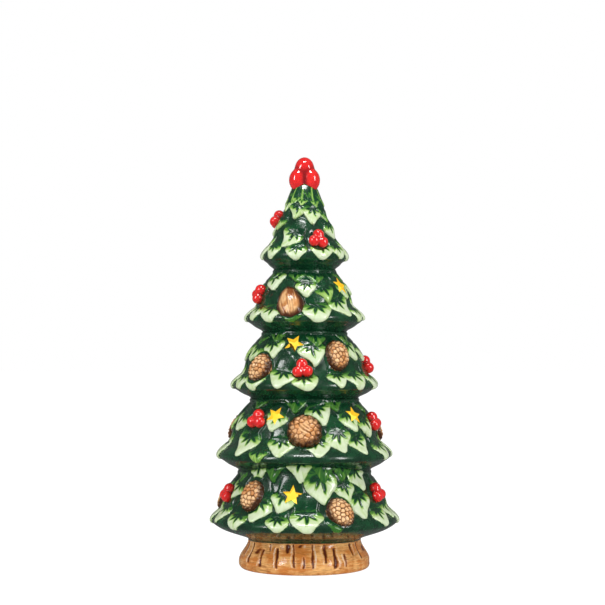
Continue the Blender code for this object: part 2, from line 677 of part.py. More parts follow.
def ornaments():
    """(node name, tier, mesh, finish, matrix, outline of the seat) for everything set on the
    shell."""
    cone = cone_mesh("cone", CONE_HALF_WIDTH, CONE_HALF_HEIGHT)
    round_cone = cone_mesh("round_cone", ROUND_CONE_HALF, ROUND_CONE_HALF)
    cone_edge = oval(CONE_HALF_WIDTH, CONE_HALF_HEIGHT)
    round_edge = oval(ROUND_CONE_HALF, ROUND_CONE_HALF)
    nut_edge = oval(NUT_HALF_WIDTH, NUT_HALF_HEIGHT)
    kinds = (
        ("pine_cone", CONES, cone, GLAZE_CONE, cone_edge, CONE_HALF_HEIGHT),
        ("round_cone", ROUND_CONES, round_cone, GLAZE_CONE, round_edge, ROUND_CONE_HALF),
        ("nut", NUTS, nut_mesh(), GLAZE_NUT, nut_edge, NUT_HALF_HEIGHT),
        ("berries", BERRIES, berries_mesh(), GLAZE_RED, trefoil, berries_half()),
    )
    for name, table, mesh, finish, edge, half_height in kinds:
        for number, spot in enumerate(spots_of(table), start=1):
            matrix = seat_matrix(*spot, half_height)
            yield f"{name}_{number}", spot[0], mesh, finish, matrix, edge


def ball(name, middle, radius, tall=1.0):
    work = bmesh.new()
    bmesh.ops.create_icosphere(work, subdivisions=2, radius=radius)
    bmesh.ops.scale(work, vec=(1.0, 1.0, tall), verts=work.verts)
    bmesh.ops.translate(work, vec=middle, verts=work.verts)
    mesh = bpy.data.meshes.new(name)
    work.to_mesh(mesh)
    work.free()
    return mesh


def make_finial(parent):
    """Three tall berries in a ring and one on top, grown together and cut flat over the crown."""
    seat_z = CROWN_Z + GAP
    spread = trio_spread(FINIAL_SIDE_RADIUS, FINIAL_NEST)
    side_z = CROWN_Z + FINIAL_SIDE_RISE
    apart = FINIAL_SIDE_RADIUS + FINIAL_TOP_RADIUS - FINIAL_NEST
    top_z = side_z + math.sqrt(apart**2 - spread**2)
    top = ball("berry_finial", (0.0, 0.0, top_z), FINIAL_TOP_RADIUS)
    finial = place("berry_finial", top, GLAZE_RED, parent=parent)
    for i in range(3):
        middle = around(spread, TAU * i / 3.0 + TAU / 6.0, side_z)
        side = ball("finial_side", middle, FINIAL_SIDE_RADIUS, FINIAL_SIDE_TALL)
        cut(finial, place(f"finial_side_{i + 1}", side, None), "UNION")
    reach = spread + 2.0 * FINIAL_SIDE_RADIUS
    below = block_mesh("below", (-reach, -reach, seat_z - reach), (reach, reach, seat_z))
    cut(finial, place("finial_trim", below, None))


def make_shell(parent):
    """The tiers, each cut by the hollow, by its own stars and by the pockets on it and beside it."""
    hollow = turned_solid("hollow", hollow_outline(), HOLLOW_SEGMENTS)
    hollow_cutter = place("hollow_cutter", hollow, None)
    pockets = []
    for name, tier, mesh, finish, matrix, edge in ornaments():
        pocket = pocket_mesh(matrix, edge, 2.0 * max(v.co.z for v in mesh.vertices))
        pockets.append((tier, pocket))
        place(name, mesh, finish, matrix, parent)
    for tier in range(1, len(HEM_Z) + 1):
        mesh, leafy = tier_body(tier)
        shell = place(f"tree_tier_{tier}", mesh, GLAZE_GREEN, parent=parent)
        thin_out(shell, leafy, LEAF_FACES[tier - 1])
        cut(shell, hollow_cutter)
        if tier in STARS:
            stars = joined("stars", [star_cutter_mesh((tier, *spot)) for spot in STARS[tier]])
            cut(shell, place(f"star_cutters_{tier}", stars, None))
        near = joined("pockets", [mesh for home, mesh in pockets if abs(home - tier) <= 1])
        cut(shell, place(f"pocket_cutters_{tier}", near, None))


# The trunk, and the sizes of the light unit that it is bored for


def bay_half_width():
    return CELL_PITCH + CELL_RADIUS + CELL_PLAY


def bay_half_length():
    return CELL_LENGTH / 2.0 + CONTACT_SPACE


def unit_radius():
    """The cup just clears the corners of the cell bay."""
    return math.hypot(bay_half_width(), bay_half_length()) + UNIT_WALL


def bore_radius():
    return unit_radius() + GAP + GASKET_THICKNESS + GAP


def flange_radius():
    return bore_radius() + FLANGE_LAP


def plate_top():
    return UNIT_RECESS + UNIT_WALL


def trunk_radius(z):
    """The trunk's outside: upright at the neck, then flaring to its foot."""
    top = NECK_Z - GAP
    return mix(NECK_RADIUS, TRUNK_FOOT_RADIUS, smooth((top - z) / (top - TRUNK_FOOT_Z)))


def make_trunk(parent):
    """A turned ring with bark flutes outside, bored through its floor for the light unit, and with
    a foot ring that stands round the unit's flange."""
    top = NECK_Z - GAP
    floor_z = plate_top() + GAP
    floor_top = floor_z + TRUNK_FLOOR
    heights = [mix(top, TRUNK_FOOT_Z, i / 5.0) for i in range(6)]
    outside = [(trunk_radius(z), z) for z in heights]
    edge = []
    for a in (TAU / 8.0, TAU / 4.0):
        drawn_in = TRUNK_EDGE_ROUND * (1.0 - math.cos(a))
        edge.append((TRUNK_FOOT_RADIUS - drawn_in, TRUNK_FOOT_Z * (1.0 - math.sin(a))))
    inside = [
        (flange_radius() + FLANGE_PLAY, 0.0),
        (flange_radius() + FLANGE_PLAY, floor_z),
        (bore_radius(), floor_z),
        (bore_radius(), floor_top),
        (trunk_radius(floor_top) - WALL, floor_top),
        (trunk_radius(mix(floor_top, top, 0.5)) - WALL, mix(floor_top, top, 0.5)),
        (NECK_RADIUS - WALL, top),
    ]
    rings = [circle(r, z, TRUNK_SEGMENTS) for r, z in [*outside, *edge, *inside]]
    for ring in rings[1:len(outside)]:
        for a in range(0, TRUNK_SEGMENTS, 2):
            ring[a] -= ring[a].xy.to_3d().normalized() * FLUTE_DEPTH
    place("trunk_base", rings_mesh("trunk_base", rings, closed=True), GLAZE_BARK, parent=parent)


# The light unit


def cell_z():
    return plate_top() + CELL_PLAY + CELL_RADIUS


def bay_top():
    return cell_z() + CELL_RADIUS + TAB_SPACE


def cup_top():
    return bay_top() + UNIT_WALL


def switch_x():
    """The middle of the slide switch, beside the cell bay."""
    return bay_half_width() + SWITCH_SETBACK + SWITCH_WIDTH / 2.0


def lead_spots():
    """Where the two battery leads rise: over the tabs of the first and the last cell."""
    y = bay_half_length() - CONTACT_BACK_PLAY - CONTACT_SHEET / 2.0 - TAB_LENGTH
    return (("lead_red", -CELL_PITCH, y, LEAD_RED), ("lead_black", CELL_PITCH, -y, LEAD_BLACK))


def screw_spots():
    """The board's two screws take the other two corners."""
    return [(-x, y) for _, x, y, _ in lead_spots()]


def holes_mesh(name, top, bottom):
    """Cutters for the leads' and the screws' holes through a plate."""
    meshes = []
    lead_hole = LEAD_RADIUS + LEAD_HOLE_PLAY
    spots = [(x, y, lead_hole) for _, x, y, _ in lead_spots()]
    spots += [(x, y, SCREW_RADIUS + GAP) for x, y in screw_spots()]
    for x, y, radius in spots:
        mesh = turned_solid("hole", [(radius, top + GAP), (radius, bottom - GAP)], 8)
        mesh.transform(Matrix.Translation((x, y, 0.0)))
        meshes.append(mesh)
    return joined(name, meshes)


def side_pocket_mesh(side):
    """The hollow between the cup's round wall and the cell bay's long wall."""
    radius = unit_radius() - UNIT_WALL
    chord = bay_half_width() + UNIT_WALL
    half_arc = math.acos(chord / radius)
    spots = [(radius * math.cos(a), radius * math.sin(a))
             for a in (mix(-half_arc, half_arc, i / 12.0) for i in range(13))]
    rings = [[Vector((side * x, side * y, z)) for x, y in spots]
             for z in (cup_top() + UNIT_WALL, plate_top())]
    return rings_mesh("side_pocket", rings, closed=False)


def make_housing(parent):
    """A round cup with a flange: its floor is open for the cell bay, and has a slot for the
    switch's knob."""
    cup = turned_solid("light_housing", [
        (unit_radius(), cup_top()),
        (unit_radius(), plate_top()),
        (flange_radius(), plate_top()),
        (flange_radius(), UNIT_RECESS),
    ], UNIT_SEGMENTS)
    housing = place("light_housing", cup, PLASTIC_IVORY, parent=parent)
    half_w, half_l = bay_half_width(), bay_half_length()
    bay = block_mesh("bay", (-half_w, -half_l, UNIT_RECESS - UNIT_WALL), (half_w, half_l, bay_top()))
    cut(housing, place("bay_cutter", bay, None))
    rebate = block_mesh(
        "rebate",
        (-half_w - DOOR_LAP, -half_l - DOOR_LAP, UNIT_RECESS - UNIT_WALL),
        (half_w + DOOR_LAP, half_l + DOOR_LAP, plate_top()),
    )
    cut(housing, place("door_rebate_cutter", rebate, None))
    pockets = joined("side_pockets", [side_pocket_mesh(1.0), side_pocket_mesh(-1.0)])
    cut(housing, place("side_pocket_cutters", pockets, None))
    slot_half = (KNOB_LENGTH + SWITCH_TRAVEL) / 2.0 + GAP
    slot = block_mesh(
        "slot",
        (switch_x() - KNOB_WIDTH / 2.0 - GAP, -slot_half, UNIT_RECESS - UNIT_WALL),
        (switch_x() + KNOB_WIDTH / 2.0 + GAP, slot_half, plate_top() + GAP),
    )
    cut(housing, place("slot_cutter", slot, None))
    cut(housing, place("roof_hole_cutters", holes_mesh("roof_holes", cup_top(), bay_top()), None))


def make_gasket(parent):
    inner = unit_radius() + GAP
    outer = inner + GASKET_THICKNESS
    low = plate_top() + GAP + (TRUNK_FLOOR - GASKET_HEIGHT) / 2.0
    loop = [(outer, low + GASKET_HEIGHT), (outer, low), (inner, low), (inner, low + GASKET_HEIGHT)]
    place("unit_gasket", turned_ring("unit_gasket", loop, UNIT_SEGMENTS), RUBBER_GREY, parent=parent)


def make_door(parent):
    """The battery door, hinged on its front edge at the underside. A notch takes a fingernail."""
    half_w = bay_half_width() + DOOR_LAP - DOOR_PLAY
    half_l = bay_half_length() + DOOR_LAP - DOOR_PLAY
    top = plate_top() - GAP
    hinge = bpy.data.objects.new("battery_door_hinge", None)
    hinge.location = (0.0, -half_l, UNIT_RECESS)
    bpy.context.scene.collection.objects.link(hinge)
    hinge.parent = parent
    bpy.context.view_layer.update()
    plate = block_mesh("battery_door", (-half_w, -half_l, UNIT_RECESS), (half_w, half_l, top))
    door = place("battery_door", plate, PLASTIC_IVORY, parent=hinge)
    nail = turned_solid("nail_notch", [
        (NAIL_NOTCH_RADIUS, UNIT_RECESS + UNIT_WALL / 2.0),
        (NAIL_NOTCH_RADIUS, UNIT_RECESS - UNIT_WALL),
    ], 12)
    nail.transform(Matrix.Translation((0.0, half_l, 0.0)))
    cut(door, place("nail_notch_cutter", nail, None))


def make_cells(parent):
    """Three cells side by side, the middle one the other way round."""
    for number in (1, 2, 3):
        half = CELL_LENGTH / 2.0
        can = half - CELL_NUB_HEIGHT
        mesh = turned_solid(f"battery_{number}", [
            (CELL_NUB_RADIUS, half),
            (CELL_NUB_RADIUS, can),
            (CELL_RADIUS, can),
            (CELL_RADIUS, -half),
        ], 16)
        way = 1.0 if number == 2 else -1.0
        matrix = Matrix.Translation(((number - 2) * CELL_PITCH, 0.0, cell_z()))
        matrix = matrix @ Matrix.Rotation(way * TAU / 4.0, 4, "X")
        place(f"battery_{number}", mesh, CELL_ZINC, matrix, parent)


def contact_mesh(name, first, last, side, tab):
    """A contact plate at one end of the bay, behind the cells first to last, with a raised cone for
    each cell and, where a lead is soldered on, a tab that reaches over the cell."""
    back = bay_half_length() - CONTACT_BACK_PLAY
    face = back - CONTACT_SHEET
    tip = CELL_LENGTH / 2.0 + GAP
    half = CELL_RADIUS - CELL_PLAY
    low_x, high_x = (first - 2) * CELL_PITCH - half, (last - 2) * CELL_PITCH + half
    tab_low = cell_z() + CELL_RADIUS + GAP
    tab_high = tab_low + CONTACT_SHEET
    plate_high = tab_high if tab else cell_z() + half
    sheet = block_mesh(name, (low_x, face, plate_top() + CELL_PLAY), (high_x, back, plate_high))
    parts = []
    for cell in range(first, last + 1):
        cone = turned_solid("contact_cone", [
            (CELL_RADIUS * 0.6, face + CONTACT_SHEET / 2.0),
            (CELL_NUB_RADIUS, tip),
        ], 10)
        cone.transform(Matrix.Rotation(-TAU / 4.0, 4, "X"))
        cone.transform(Matrix.Translation(((cell - 2) * CELL_PITCH, 0.0, cell_z())))
        parts.append(cone)
    if tab:
        middle = (first - 2) * CELL_PITCH
        parts.append(block_mesh(
            "contact_tab",
            (middle - TAB_WIDTH / 2.0, face - TAB_LENGTH - TAB_WIDTH / 2.0, tab_low),
            (middle + TAB_WIDTH / 2.0, back - CONTACT_SHEET / 2.0, tab_high),
        ))
    turn = Matrix.Rotation(0.0 if side > 0 else TAU / 2.0, 4, "Z")
    for mesh in [sheet, *parts]:
        mesh.transform(turn)
    return sheet, parts


def make_contacts(parent):
    """Rear and front contacts. Turned round the axis, the front pair is the rear pair again."""
    kinds = (
        ("contact_plus", 1, 1, 1, True),
        ("contact_bridge_rear", 2, 3, 1, False),
        ("contact_minus", 1, 1, -1, True),
        ("contact_bridge_front", 2, 3, -1, False),
    )
    for name, first, last, side, tab in kinds:
        sheet, parts = contact_mesh(name, first, last, side, tab)
        contact = place(name, sheet, SPRING_STEEL, parent=parent)
        for number, mesh in enumerate(parts, start=1):
            cut(contact, place(f"{name}_{number}", mesh, None), "UNION")


def board_z():
    return cup_top() + GAP


def board_radius():
    """The board takes in its screws, which stand out as far as the leads."""
    return max(math.hypot(x, y) for x, y in screw_spots()) + SCREW_HEAD_RADIUS + BOARD_MARGIN


def make_board(parent):
    disc = turned_solid("circuit_board", [
        (board_radius(), board_z() + BOARD_THICKNESS),
        (board_radius(), board_z()),
    ], 32)
    board = place("circuit_board", disc, BOARD_GREEN, parent=parent)
    holes = holes_mesh("board_holes", board_z() + BOARD_THICKNESS, board_z())
    cut(board, place("board_hole_cutters", holes, None))


def make_board_screws(parent):
    """Screws through the board into the cup's roof."""
    seat = board_z() + BOARD_THICKNESS + GAP
    profile = [
        (SCREW_HEAD_RADIUS - SCREW_HEAD_HEIGHT / 2.0, seat + SCREW_HEAD_HEIGHT),
        (SCREW_HEAD_RADIUS, seat + SCREW_HEAD_HEIGHT / 2.0),
        (SCREW_HEAD_RADIUS, seat),
        (SCREW_RADIUS, seat),
        (SCREW_RADIUS, bay_top()),
    ]
    mesh = turned_solid("board_screw", profile, 8)
    for number, (x, y) in enumerate(screw_spots(), start=1):
        at = Matrix.Translation((x, y, 0.0))
        place(f"board_screw_{number}", mesh, SPRING_STEEL, at, parent)


def make_leads(parent):
    """Short leads from the contact tabs up through the cup's roof and the board."""
    low = cell_z() + CELL_RADIUS + GAP + CONTACT_SHEET + GAP
    high = board_z() + BOARD_THICKNESS + LEAD_STANDS
    for name, x, y, finish in lead_spots():
        mesh = turned_solid(name, [(LEAD_RADIUS, high), (LEAD_RADIUS, low)], 8)
        place(name, mesh, finish, Matrix.Translation((x, y, 0.0)), parent)


def make_leds(parent):
    """Round-nosed lamps in a ring on the board."""
    base = board_z() + BOARD_THICKNESS + GAP
    nose = base + LED_BODY_HEIGHT
    profile = [(LED_RADIUS * math.cos(a), nose + LED_RADIUS * math.sin(a))
               for a in (TAU / 4.0 * i / 4.0 for i in (3.6, 3.0, 2.0, 1.0, 0.0))]
    profile += [
        (LED_RADIUS, base + LED_RIM_HEIGHT),
        (LED_RIM_RADIUS, base + LED_RIM_HEIGHT),
        (LED_RIM_RADIUS, base),
    ]
    mesh = turned_solid("led", profile, 12)
    for i in range(LED_COUNT):
        spot = around(LED_RING, TAU * i / LED_COUNT, 0.0)
        place(f"led_{i + 1}", mesh, LENS_WARM, Matrix.Translation(spot), parent)


def make_diffuser(parent):
    """A frosted dome over the lamps, standing on the cup round the board."""
    inner = board_radius() + DIFFUSER_PLAY
    outer = inner + DIFFUSER_WALL
    low = cup_top() + GAP
    spring = low + DIFFUSER_SKIRT
    angles = [TAU / 4.0 * i / 6.0 for i in (5.7, 5, 4, 3, 2, 1, 0)]
    dome = [(outer * math.cos(a), spring + outer * math.sin(a)) for a in angles]
    hollow = [(inner * math.cos(a), spring + inner * math.sin(a)) for a in angles]
    shape = turned_solid("diffuser_dome", [*dome, (outer, low)], 32)
    diffuser = place("diffuser_dome", shape, PLASTIC_FROSTED, parent=parent)
    inside = turned_solid("diffuser_hollow", [*hollow, (inner, low - DIFFUSER_WALL)], 32)
    cut(diffuser, place("diffuser_hollow_cutter", inside, None))


def make_switch(parent):
    """The switch's case stands on the cup's floor, and its knob shows through the slot. It is made
    switched on, at the rear end of its travel."""
    case = block_mesh(
        "switch_case",
        (switch_x() - SWITCH_WIDTH / 2.0, -SWITCH_LENGTH / 2.0, plate_top() + GAP),
        (switch_x() + SWITCH_WIDTH / 2.0, SWITCH_LENGTH / 2.0, plate_top() + GAP + SWITCH_HEIGHT),
    )
    place("switch_case", case, PLASTIC_BLACK, parent=parent)
    knob = block_mesh(
        "switch_knob",
        (-KNOB_WIDTH / 2.0, -KNOB_LENGTH / 2.0, UNIT_RECESS - KNOB_STANDS),
        (KNOB_WIDTH / 2.0, KNOB_LENGTH / 2.0, plate_top()),
    )
    at = Matrix.Translation((switch_x(), SWITCH_TRAVEL / 2.0, 0.0))
    place("switch_knob", knob, PLASTIC_BLACK, at, parent)


def empty(name, parent=None):
    thing = bpy.data.objects.new(name, None)
    bpy.context.scene.collection.objects.link(thing)
    thing.parent = parent
    return thing


def main():
    for thing in list(bpy.data.objects):
        bpy.data.objects.remove(thing)
    tree = empty("tree")
    make_shell(tree)
    make_finial(tree)
    make_trunk(tree)
    unit = empty("light_unit", tree)
    make_housing(unit)
    make_gasket(unit)
    make_door(unit)
    make_cells(unit)
    make_contacts(unit)
    make_board(unit)
    make_board_screws(unit)
    make_leads(unit)
    make_leds(unit)
    make_diffuser(unit)
    make_switch(unit)


main()
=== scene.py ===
# %% [markdown]
# # A lit ceramic Christmas tree
# The real object is a hollow, slip-cast and hand-painted tree. Its five leafy tiers carry cones, nuts
# and berries that were pressed in small moulds and stuck on, star holes let the light out, and a flared
# trunk takes a battery light unit from below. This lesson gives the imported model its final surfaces:
# the pieces stay where the model has them, and only their shapes get finer and their glazes get made.

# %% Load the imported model
import math

import bpy
import numpy as np
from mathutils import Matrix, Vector


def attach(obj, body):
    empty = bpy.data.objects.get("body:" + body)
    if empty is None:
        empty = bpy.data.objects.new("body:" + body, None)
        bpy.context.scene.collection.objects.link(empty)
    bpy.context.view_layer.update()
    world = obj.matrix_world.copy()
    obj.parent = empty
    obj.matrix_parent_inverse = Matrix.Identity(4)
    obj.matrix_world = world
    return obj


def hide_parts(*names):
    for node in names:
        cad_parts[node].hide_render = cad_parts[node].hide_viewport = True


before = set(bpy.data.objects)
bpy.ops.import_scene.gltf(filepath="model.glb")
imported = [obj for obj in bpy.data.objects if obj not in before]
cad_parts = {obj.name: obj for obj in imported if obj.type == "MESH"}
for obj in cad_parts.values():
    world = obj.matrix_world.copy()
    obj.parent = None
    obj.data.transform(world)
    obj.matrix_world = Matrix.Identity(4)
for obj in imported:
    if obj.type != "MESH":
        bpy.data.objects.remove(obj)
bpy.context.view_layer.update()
MM = 0.001
TAU = 2.0 * math.pi
print("nodes in the frame:", len(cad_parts))

# %% [markdown]
# The photograph was taken from a little above the middle of the tree with a long lens, so the camera
# stands 1.25 m away. It could be matched by trial. Here its height and its aim follow from two
# facts read off the photograph: the top berry and the foot, seen on the tree's axis.

# %% Camera
CAMERA_AWAY = 1.25
CAMERA_HEIGHT = 0.1750
AIM_HEIGHT = 0.1965
AXIS_OFFSET = 0.0015  # the tree stands this far right of the middle of the picture
LENS = 0.09983
camera_data = bpy.data.cameras.new("camera")
camera_data.lens = LENS / MM
camera = bpy.data.objects.new("camera", camera_data)
camera.location = (-AXIS_OFFSET, -CAMERA_AWAY, CAMERA_HEIGHT)
looking = Vector((0.0, CAMERA_AWAY, AIM_HEIGHT - CAMERA_HEIGHT))
camera.rotation_euler = looking.to_track_quat("-Z", "Y").to_euler()
bpy.context.scene.collection.objects.link(camera)
bpy.context.scene.camera = camera
looking_up = math.degrees(math.atan2(looking.z, looking.y))
print("camera", CAMERA_AWAY, "m away, looking up", round(looking_up, 2), "degrees")

# %% [markdown]
# Materials are written as sums. A socket of a shader node is wrapped in a small class that knows how to
# add, subtract, multiply and compare itself, so that a pattern reads like a formula. Numbers stay
# numbers until they meet a socket. Colours go through Mix nodes, because a Math node is grey.


# %% A socket that does arithmetic
class Signal:
    """One output socket of a shader tree. Arithmetic on it adds Math nodes."""

    def __init__(self, tree, socket):
        self.tree = tree
        self.socket = socket

    def node(self, kind, settings=(), **values):
        """A new node of this type: its settings first, then a value or a link for each socket. A socket
        goes by its name, or by i and its number."""
        made = self.tree.nodes.new(kind)
        for name, value in dict(settings).items():
            setattr(made, name, value)
        for name, value in values.items():
            place = made.inputs[int(name[1:]) if name[1:].isdigit() else name.replace("_", " ")]
            if isinstance(value, Signal):
                self.tree.links.new(value.socket, place)
            else:
                place.default_value = value
        return made

    def math(self, operation, *inputs):
        """A Math node with these inputs. The signal itself is only one of them if it is named."""
        values = {f"i{n}": value for n, value in enumerate(inputs)}
        made = self.node("ShaderNodeMath", {"operation": operation}, **values)
        return Signal(self.tree, made.outputs[0])

    def __add__(self, other):
        return self.math("ADD", self, other)

    def __radd__(self, other):
        return self.math("ADD", other, self)

    def __sub__(self, other):
        return self.math("SUBTRACT", self, other)

    def __rsub__(self, other):
        return self.math("SUBTRACT", other, self)

    def __mul__(self, other):
        return self.math("MULTIPLY", self, other)

    def __rmul__(self, other):
        return self.math("MULTIPLY", other, self)

    def __pow__(self, other):
        return self.math("POWER", self, other)

    def high(self, other):
        """The larger of two signals."""
        return self.math("MAXIMUM", self, other)

    def size(self):
        """How far the signal is from 0, on either side."""
        return self.math("ABSOLUTE", self)

    def wave(self):
        """The sine of the signal, which counts as an angle."""
        return self.math("SINE", self)

    def ramp(self, start, end):
        """An even S-curve from 0 where the signal is start to 1 where it is end."""
        settings = {"interpolation_type": "SMOOTHSTEP"}
        made = self.node("ShaderNodeMapRange", settings, i0=self, i1=start, i2=end, i3=0.0, i4=1.0)
        return Signal(self.tree, made.outputs[0])

    def stretch(self, *scale):
        """A vector signal, scaled along each axis."""
        made = self.node("ShaderNodeVectorMath", {"operation": "MULTIPLY"}, i0=self, i1=scale)
        return Signal(self.tree, made.outputs[0])

    def part(self, axis):
        """One part of a vector signal: 0, 1 or 2 for x, y or z."""
        made = self.node("ShaderNodeSeparateXYZ", {}, i0=self)
        return Signal(self.tree, made.outputs[axis])

    def noise(self, scale, detail=2.0, roughness=0.5):
        """Soft noise from 0 to 1 over this vector signal, with scale lumps to a metre."""
        made = self.node(
            "ShaderNodeTexNoise", {}, Vector=self, Scale=scale, Detail=detail, Roughness=roughness)
        return Signal(self.tree, made.outputs[0])

    def blend(self, first, second):
        """The first colour where this mask is 0 and the second where it is 1."""
        made = self.node("ShaderNodeMix", {"data_type": "RGBA"}, i0=self, i6=first, i7=second)
        return Signal(self.tree, made.outputs[2])


# %% [markdown]
# Every finish starts as one Principled shader. Colours are written as they look in the photograph, as
# red, green and blue from 0 to 255, and turned into the linear numbers that light works in.


# %% Colours and a blank finish
def rgb(red, green, blue):
    """A colour as a screen shows it, in linear light: the standard curve of the sRGB space."""
    shown = np.array((red, green, blue)) / 255.0
    linear = np.where(shown <= 0.04045, shown / 12.92, ((shown + 0.055) / 1.055) ** 2.4)
    return (*(float(c) for c in linear), 1.0)


class Finish:
    """A material with one Principled shader, and the signals that patterns start from."""

    def __init__(self, name, roughness=0.5, metallic=0.0, **constants):
        self.slot = name
        self.material = bpy.data.materials.new(name)
        self.material.use_nodes = True
        self.tree = self.material.node_tree
        self.shader = self.tree.nodes["Principled BSDF"]
        self.shader.inputs["Roughness"].default_value = roughness
        self.shader.inputs["Metallic"].default_value = metallic
        for socket, value in constants.items():
            self.shader.inputs[socket.replace("_", " ")].default_value = value
        coordinates = self.tree.nodes.new("ShaderNodeTexCoord")
        self.place = Signal(self.tree, coordinates.outputs["Object"])

    def attribute(self, name, output="Fac"):
        """A map that the mesh carries, as a number or, by its output Vector, as a vector."""
        made = self.place.node("ShaderNodeAttribute", {"attribute_name": name})
        return Signal(self.tree, made.outputs[output])

    def feed(self, socket, signal):
        """Links a signal to a socket of the shader."""
        self.tree.links.new(signal.socket, self.shader.inputs[socket])

    def cover(self, colour, roughness, height, distance, strength):
        """Feeds the colour, the roughness and the Normal: height 1 stands distance metres proud of 0."""
        self.feed("Base Color", colour)
        self.feed("Roughness", roughness)
        made = self.place.node("ShaderNodeBump", {}, Strength=strength, Distance=distance, Height=height)
        self.tree.links.new(made.outputs[0], self.shader.inputs["Normal"])


print("a grey of 128 in linear light:", round(rgb(128, 128, 128)[0], 3))

# %% [markdown]
# A new surface is a grid of points: its columns run round the tree's axis, seen from above against the
# clock from the front, and its rows run from the top down. Neighbours make four-sided faces, and where
# a surface ends on the axis a fan of triangles closes it. Blender could lathe such shapes with its Screw
# modifier, but on a grid of numbers every point can also be pushed in or out by a pattern.


# %% Grids of points into meshes
def grid_faces(rows, columns, wrapped):
    """Four corners for each cell of a grid. The last column meets the first, and so does the last
    row if the grid is wrapped."""
    last = rows if wrapped else rows - 1
    row, column = np.meshgrid(np.arange(last), np.arange(columns), indexing="ij")
    here, below = row * columns, (row + 1) % rows * columns
    beside = (column + 1) % columns
    return np.stack((here + column, below + column, below + beside, here + beside), axis=-1).reshape(-1, 4)


def mesh_of(name, points, quads, triangles=()):
    """A mesh of these points, four-sided faces and triangles."""
    mesh = bpy.data.meshes.new(name)
    triangles = np.reshape(triangles, (-1, 3))
    corners = np.concatenate((np.ravel(quads), np.ravel(triangles))).astype(np.int32)
    starts = np.concatenate((np.arange(len(quads)) * 4, len(quads) * 4 + np.arange(len(triangles)) * 3))
    mesh.vertices.add(len(points))
    mesh.vertices.foreach_set("co", np.ravel(points).astype(np.float32))
    mesh.loops.add(len(corners))
    mesh.loops.foreach_set("vertex_index", corners)
    mesh.polygons.add(len(starts))
    mesh.polygons.foreach_set("loop_start", starts.astype(np.int32))
    mesh.update(calc_edges=True)
    mesh.shade_smooth()
    return mesh


def grid_mesh(name, grid, wrapped=False):
    """A closed mesh over a grid of points. If the grid isn't wrapped, a fan closes each end: its two
    middles, above and below, are the mesh's last points."""
    rows, columns = grid.shape[:2]
    points = grid.reshape(-1, 3)
    quads = grid_faces(rows, columns, wrapped)
    if wrapped:
        return mesh_of(name, points, quads)
    column = np.arange(columns)
    beside = (column + 1) % columns
    above = np.full(columns, len(points))
    last = (rows - 1) * columns
    top_fan = np.stack((above, column, beside), axis=-1)
    bottom_fan = np.stack((above + 1, last + beside, last + column), axis=-1)
    points = np.vstack((points, grid[0].mean(axis=0), grid[-1].mean(axis=0)))
    return mesh_of(name, points, quads, np.concatenate((top_fan, bottom_fan)))


def around(radius, azimuth, height):
    """Points at a radius, an azimuth counted from the front towards the right, and a height."""
    x, y = radius * np.sin(azimuth), -radius * np.cos(azimuth)
    return np.stack(np.broadcast_arrays(x, y, height), axis=-1)


def piece(name, mesh, node, *finishes):
    """An object of this mesh at the origin, with these finishes in its slots. It rides on the tree and
    stands for a node of the model, which is hidden."""
    thing = bpy.data.objects.new(name, mesh)
    bpy.context.scene.collection.objects.link(thing)
    for finish in finishes:
        mesh.materials.append(finish.material)
    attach(thing, "tree")
    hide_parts(node)
    return thing


# %% [markdown]
# ## The shell
# The tiers follow the outline that the model was built on: two swells down each face, then an
# underside that draws in to the next waist. The numbers are the model's own, measured over the leaf tips.

# %% The tiers' outline
CROWN_Z, CROWN_RADIUS = 0.2804, 0.0097
HEM_Z = (0.2303, 0.1848, 0.1355, 0.0840, 0.0358)
HEM_RADIUS = (0.0336, 0.0455, 0.0556, 0.0661, 0.0709)
WAIST_Z = (0.2210, 0.1747, 0.1256, 0.0725)
WAIST_RADIUS = (0.0228, 0.0312, 0.0400, 0.0490)
NECK_Z, NECK_RADIUS = 0.0213, 0.0418
SHOULDER_SHARE = 0.62
SHOULDER_END = 0.62
SHOULDER_POWER = (1.0, 1.6, 1.6, 1.6, 1.3)
HEM_START = 0.66
LIP = 0.0042  # a leaf's end curls round a quarter circle of this radius at the hem
LIP_END = 1.3
GROUND_LIP = 0.0034  # the same radius between the leaves


def smooth(x):
    """An even S-curve: 0 up to x = 0, 1 from x = 1."""
    x = np.clip(x, 0.0, 1.0)
    return x * x * (3.0 - 2.0 * x)


def mix(a, b, share):
    """From a where the share is 0 to b where it is 1."""
    return a + (b - a) * share


def tier_ends(tier):
    """(height, radius) of a tier's top, hem and foot. Tiers count from 1 at the top."""
    tops = ((CROWN_Z, CROWN_RADIUS), *zip(WAIST_Z, WAIST_RADIUS))
    feet = (*zip(WAIST_Z, WAIST_RADIUS), (NECK_Z, NECK_RADIUS))
    return tops[tier - 1], (HEM_Z[tier - 1], HEM_RADIUS[tier - 1]), feet[tier - 1]


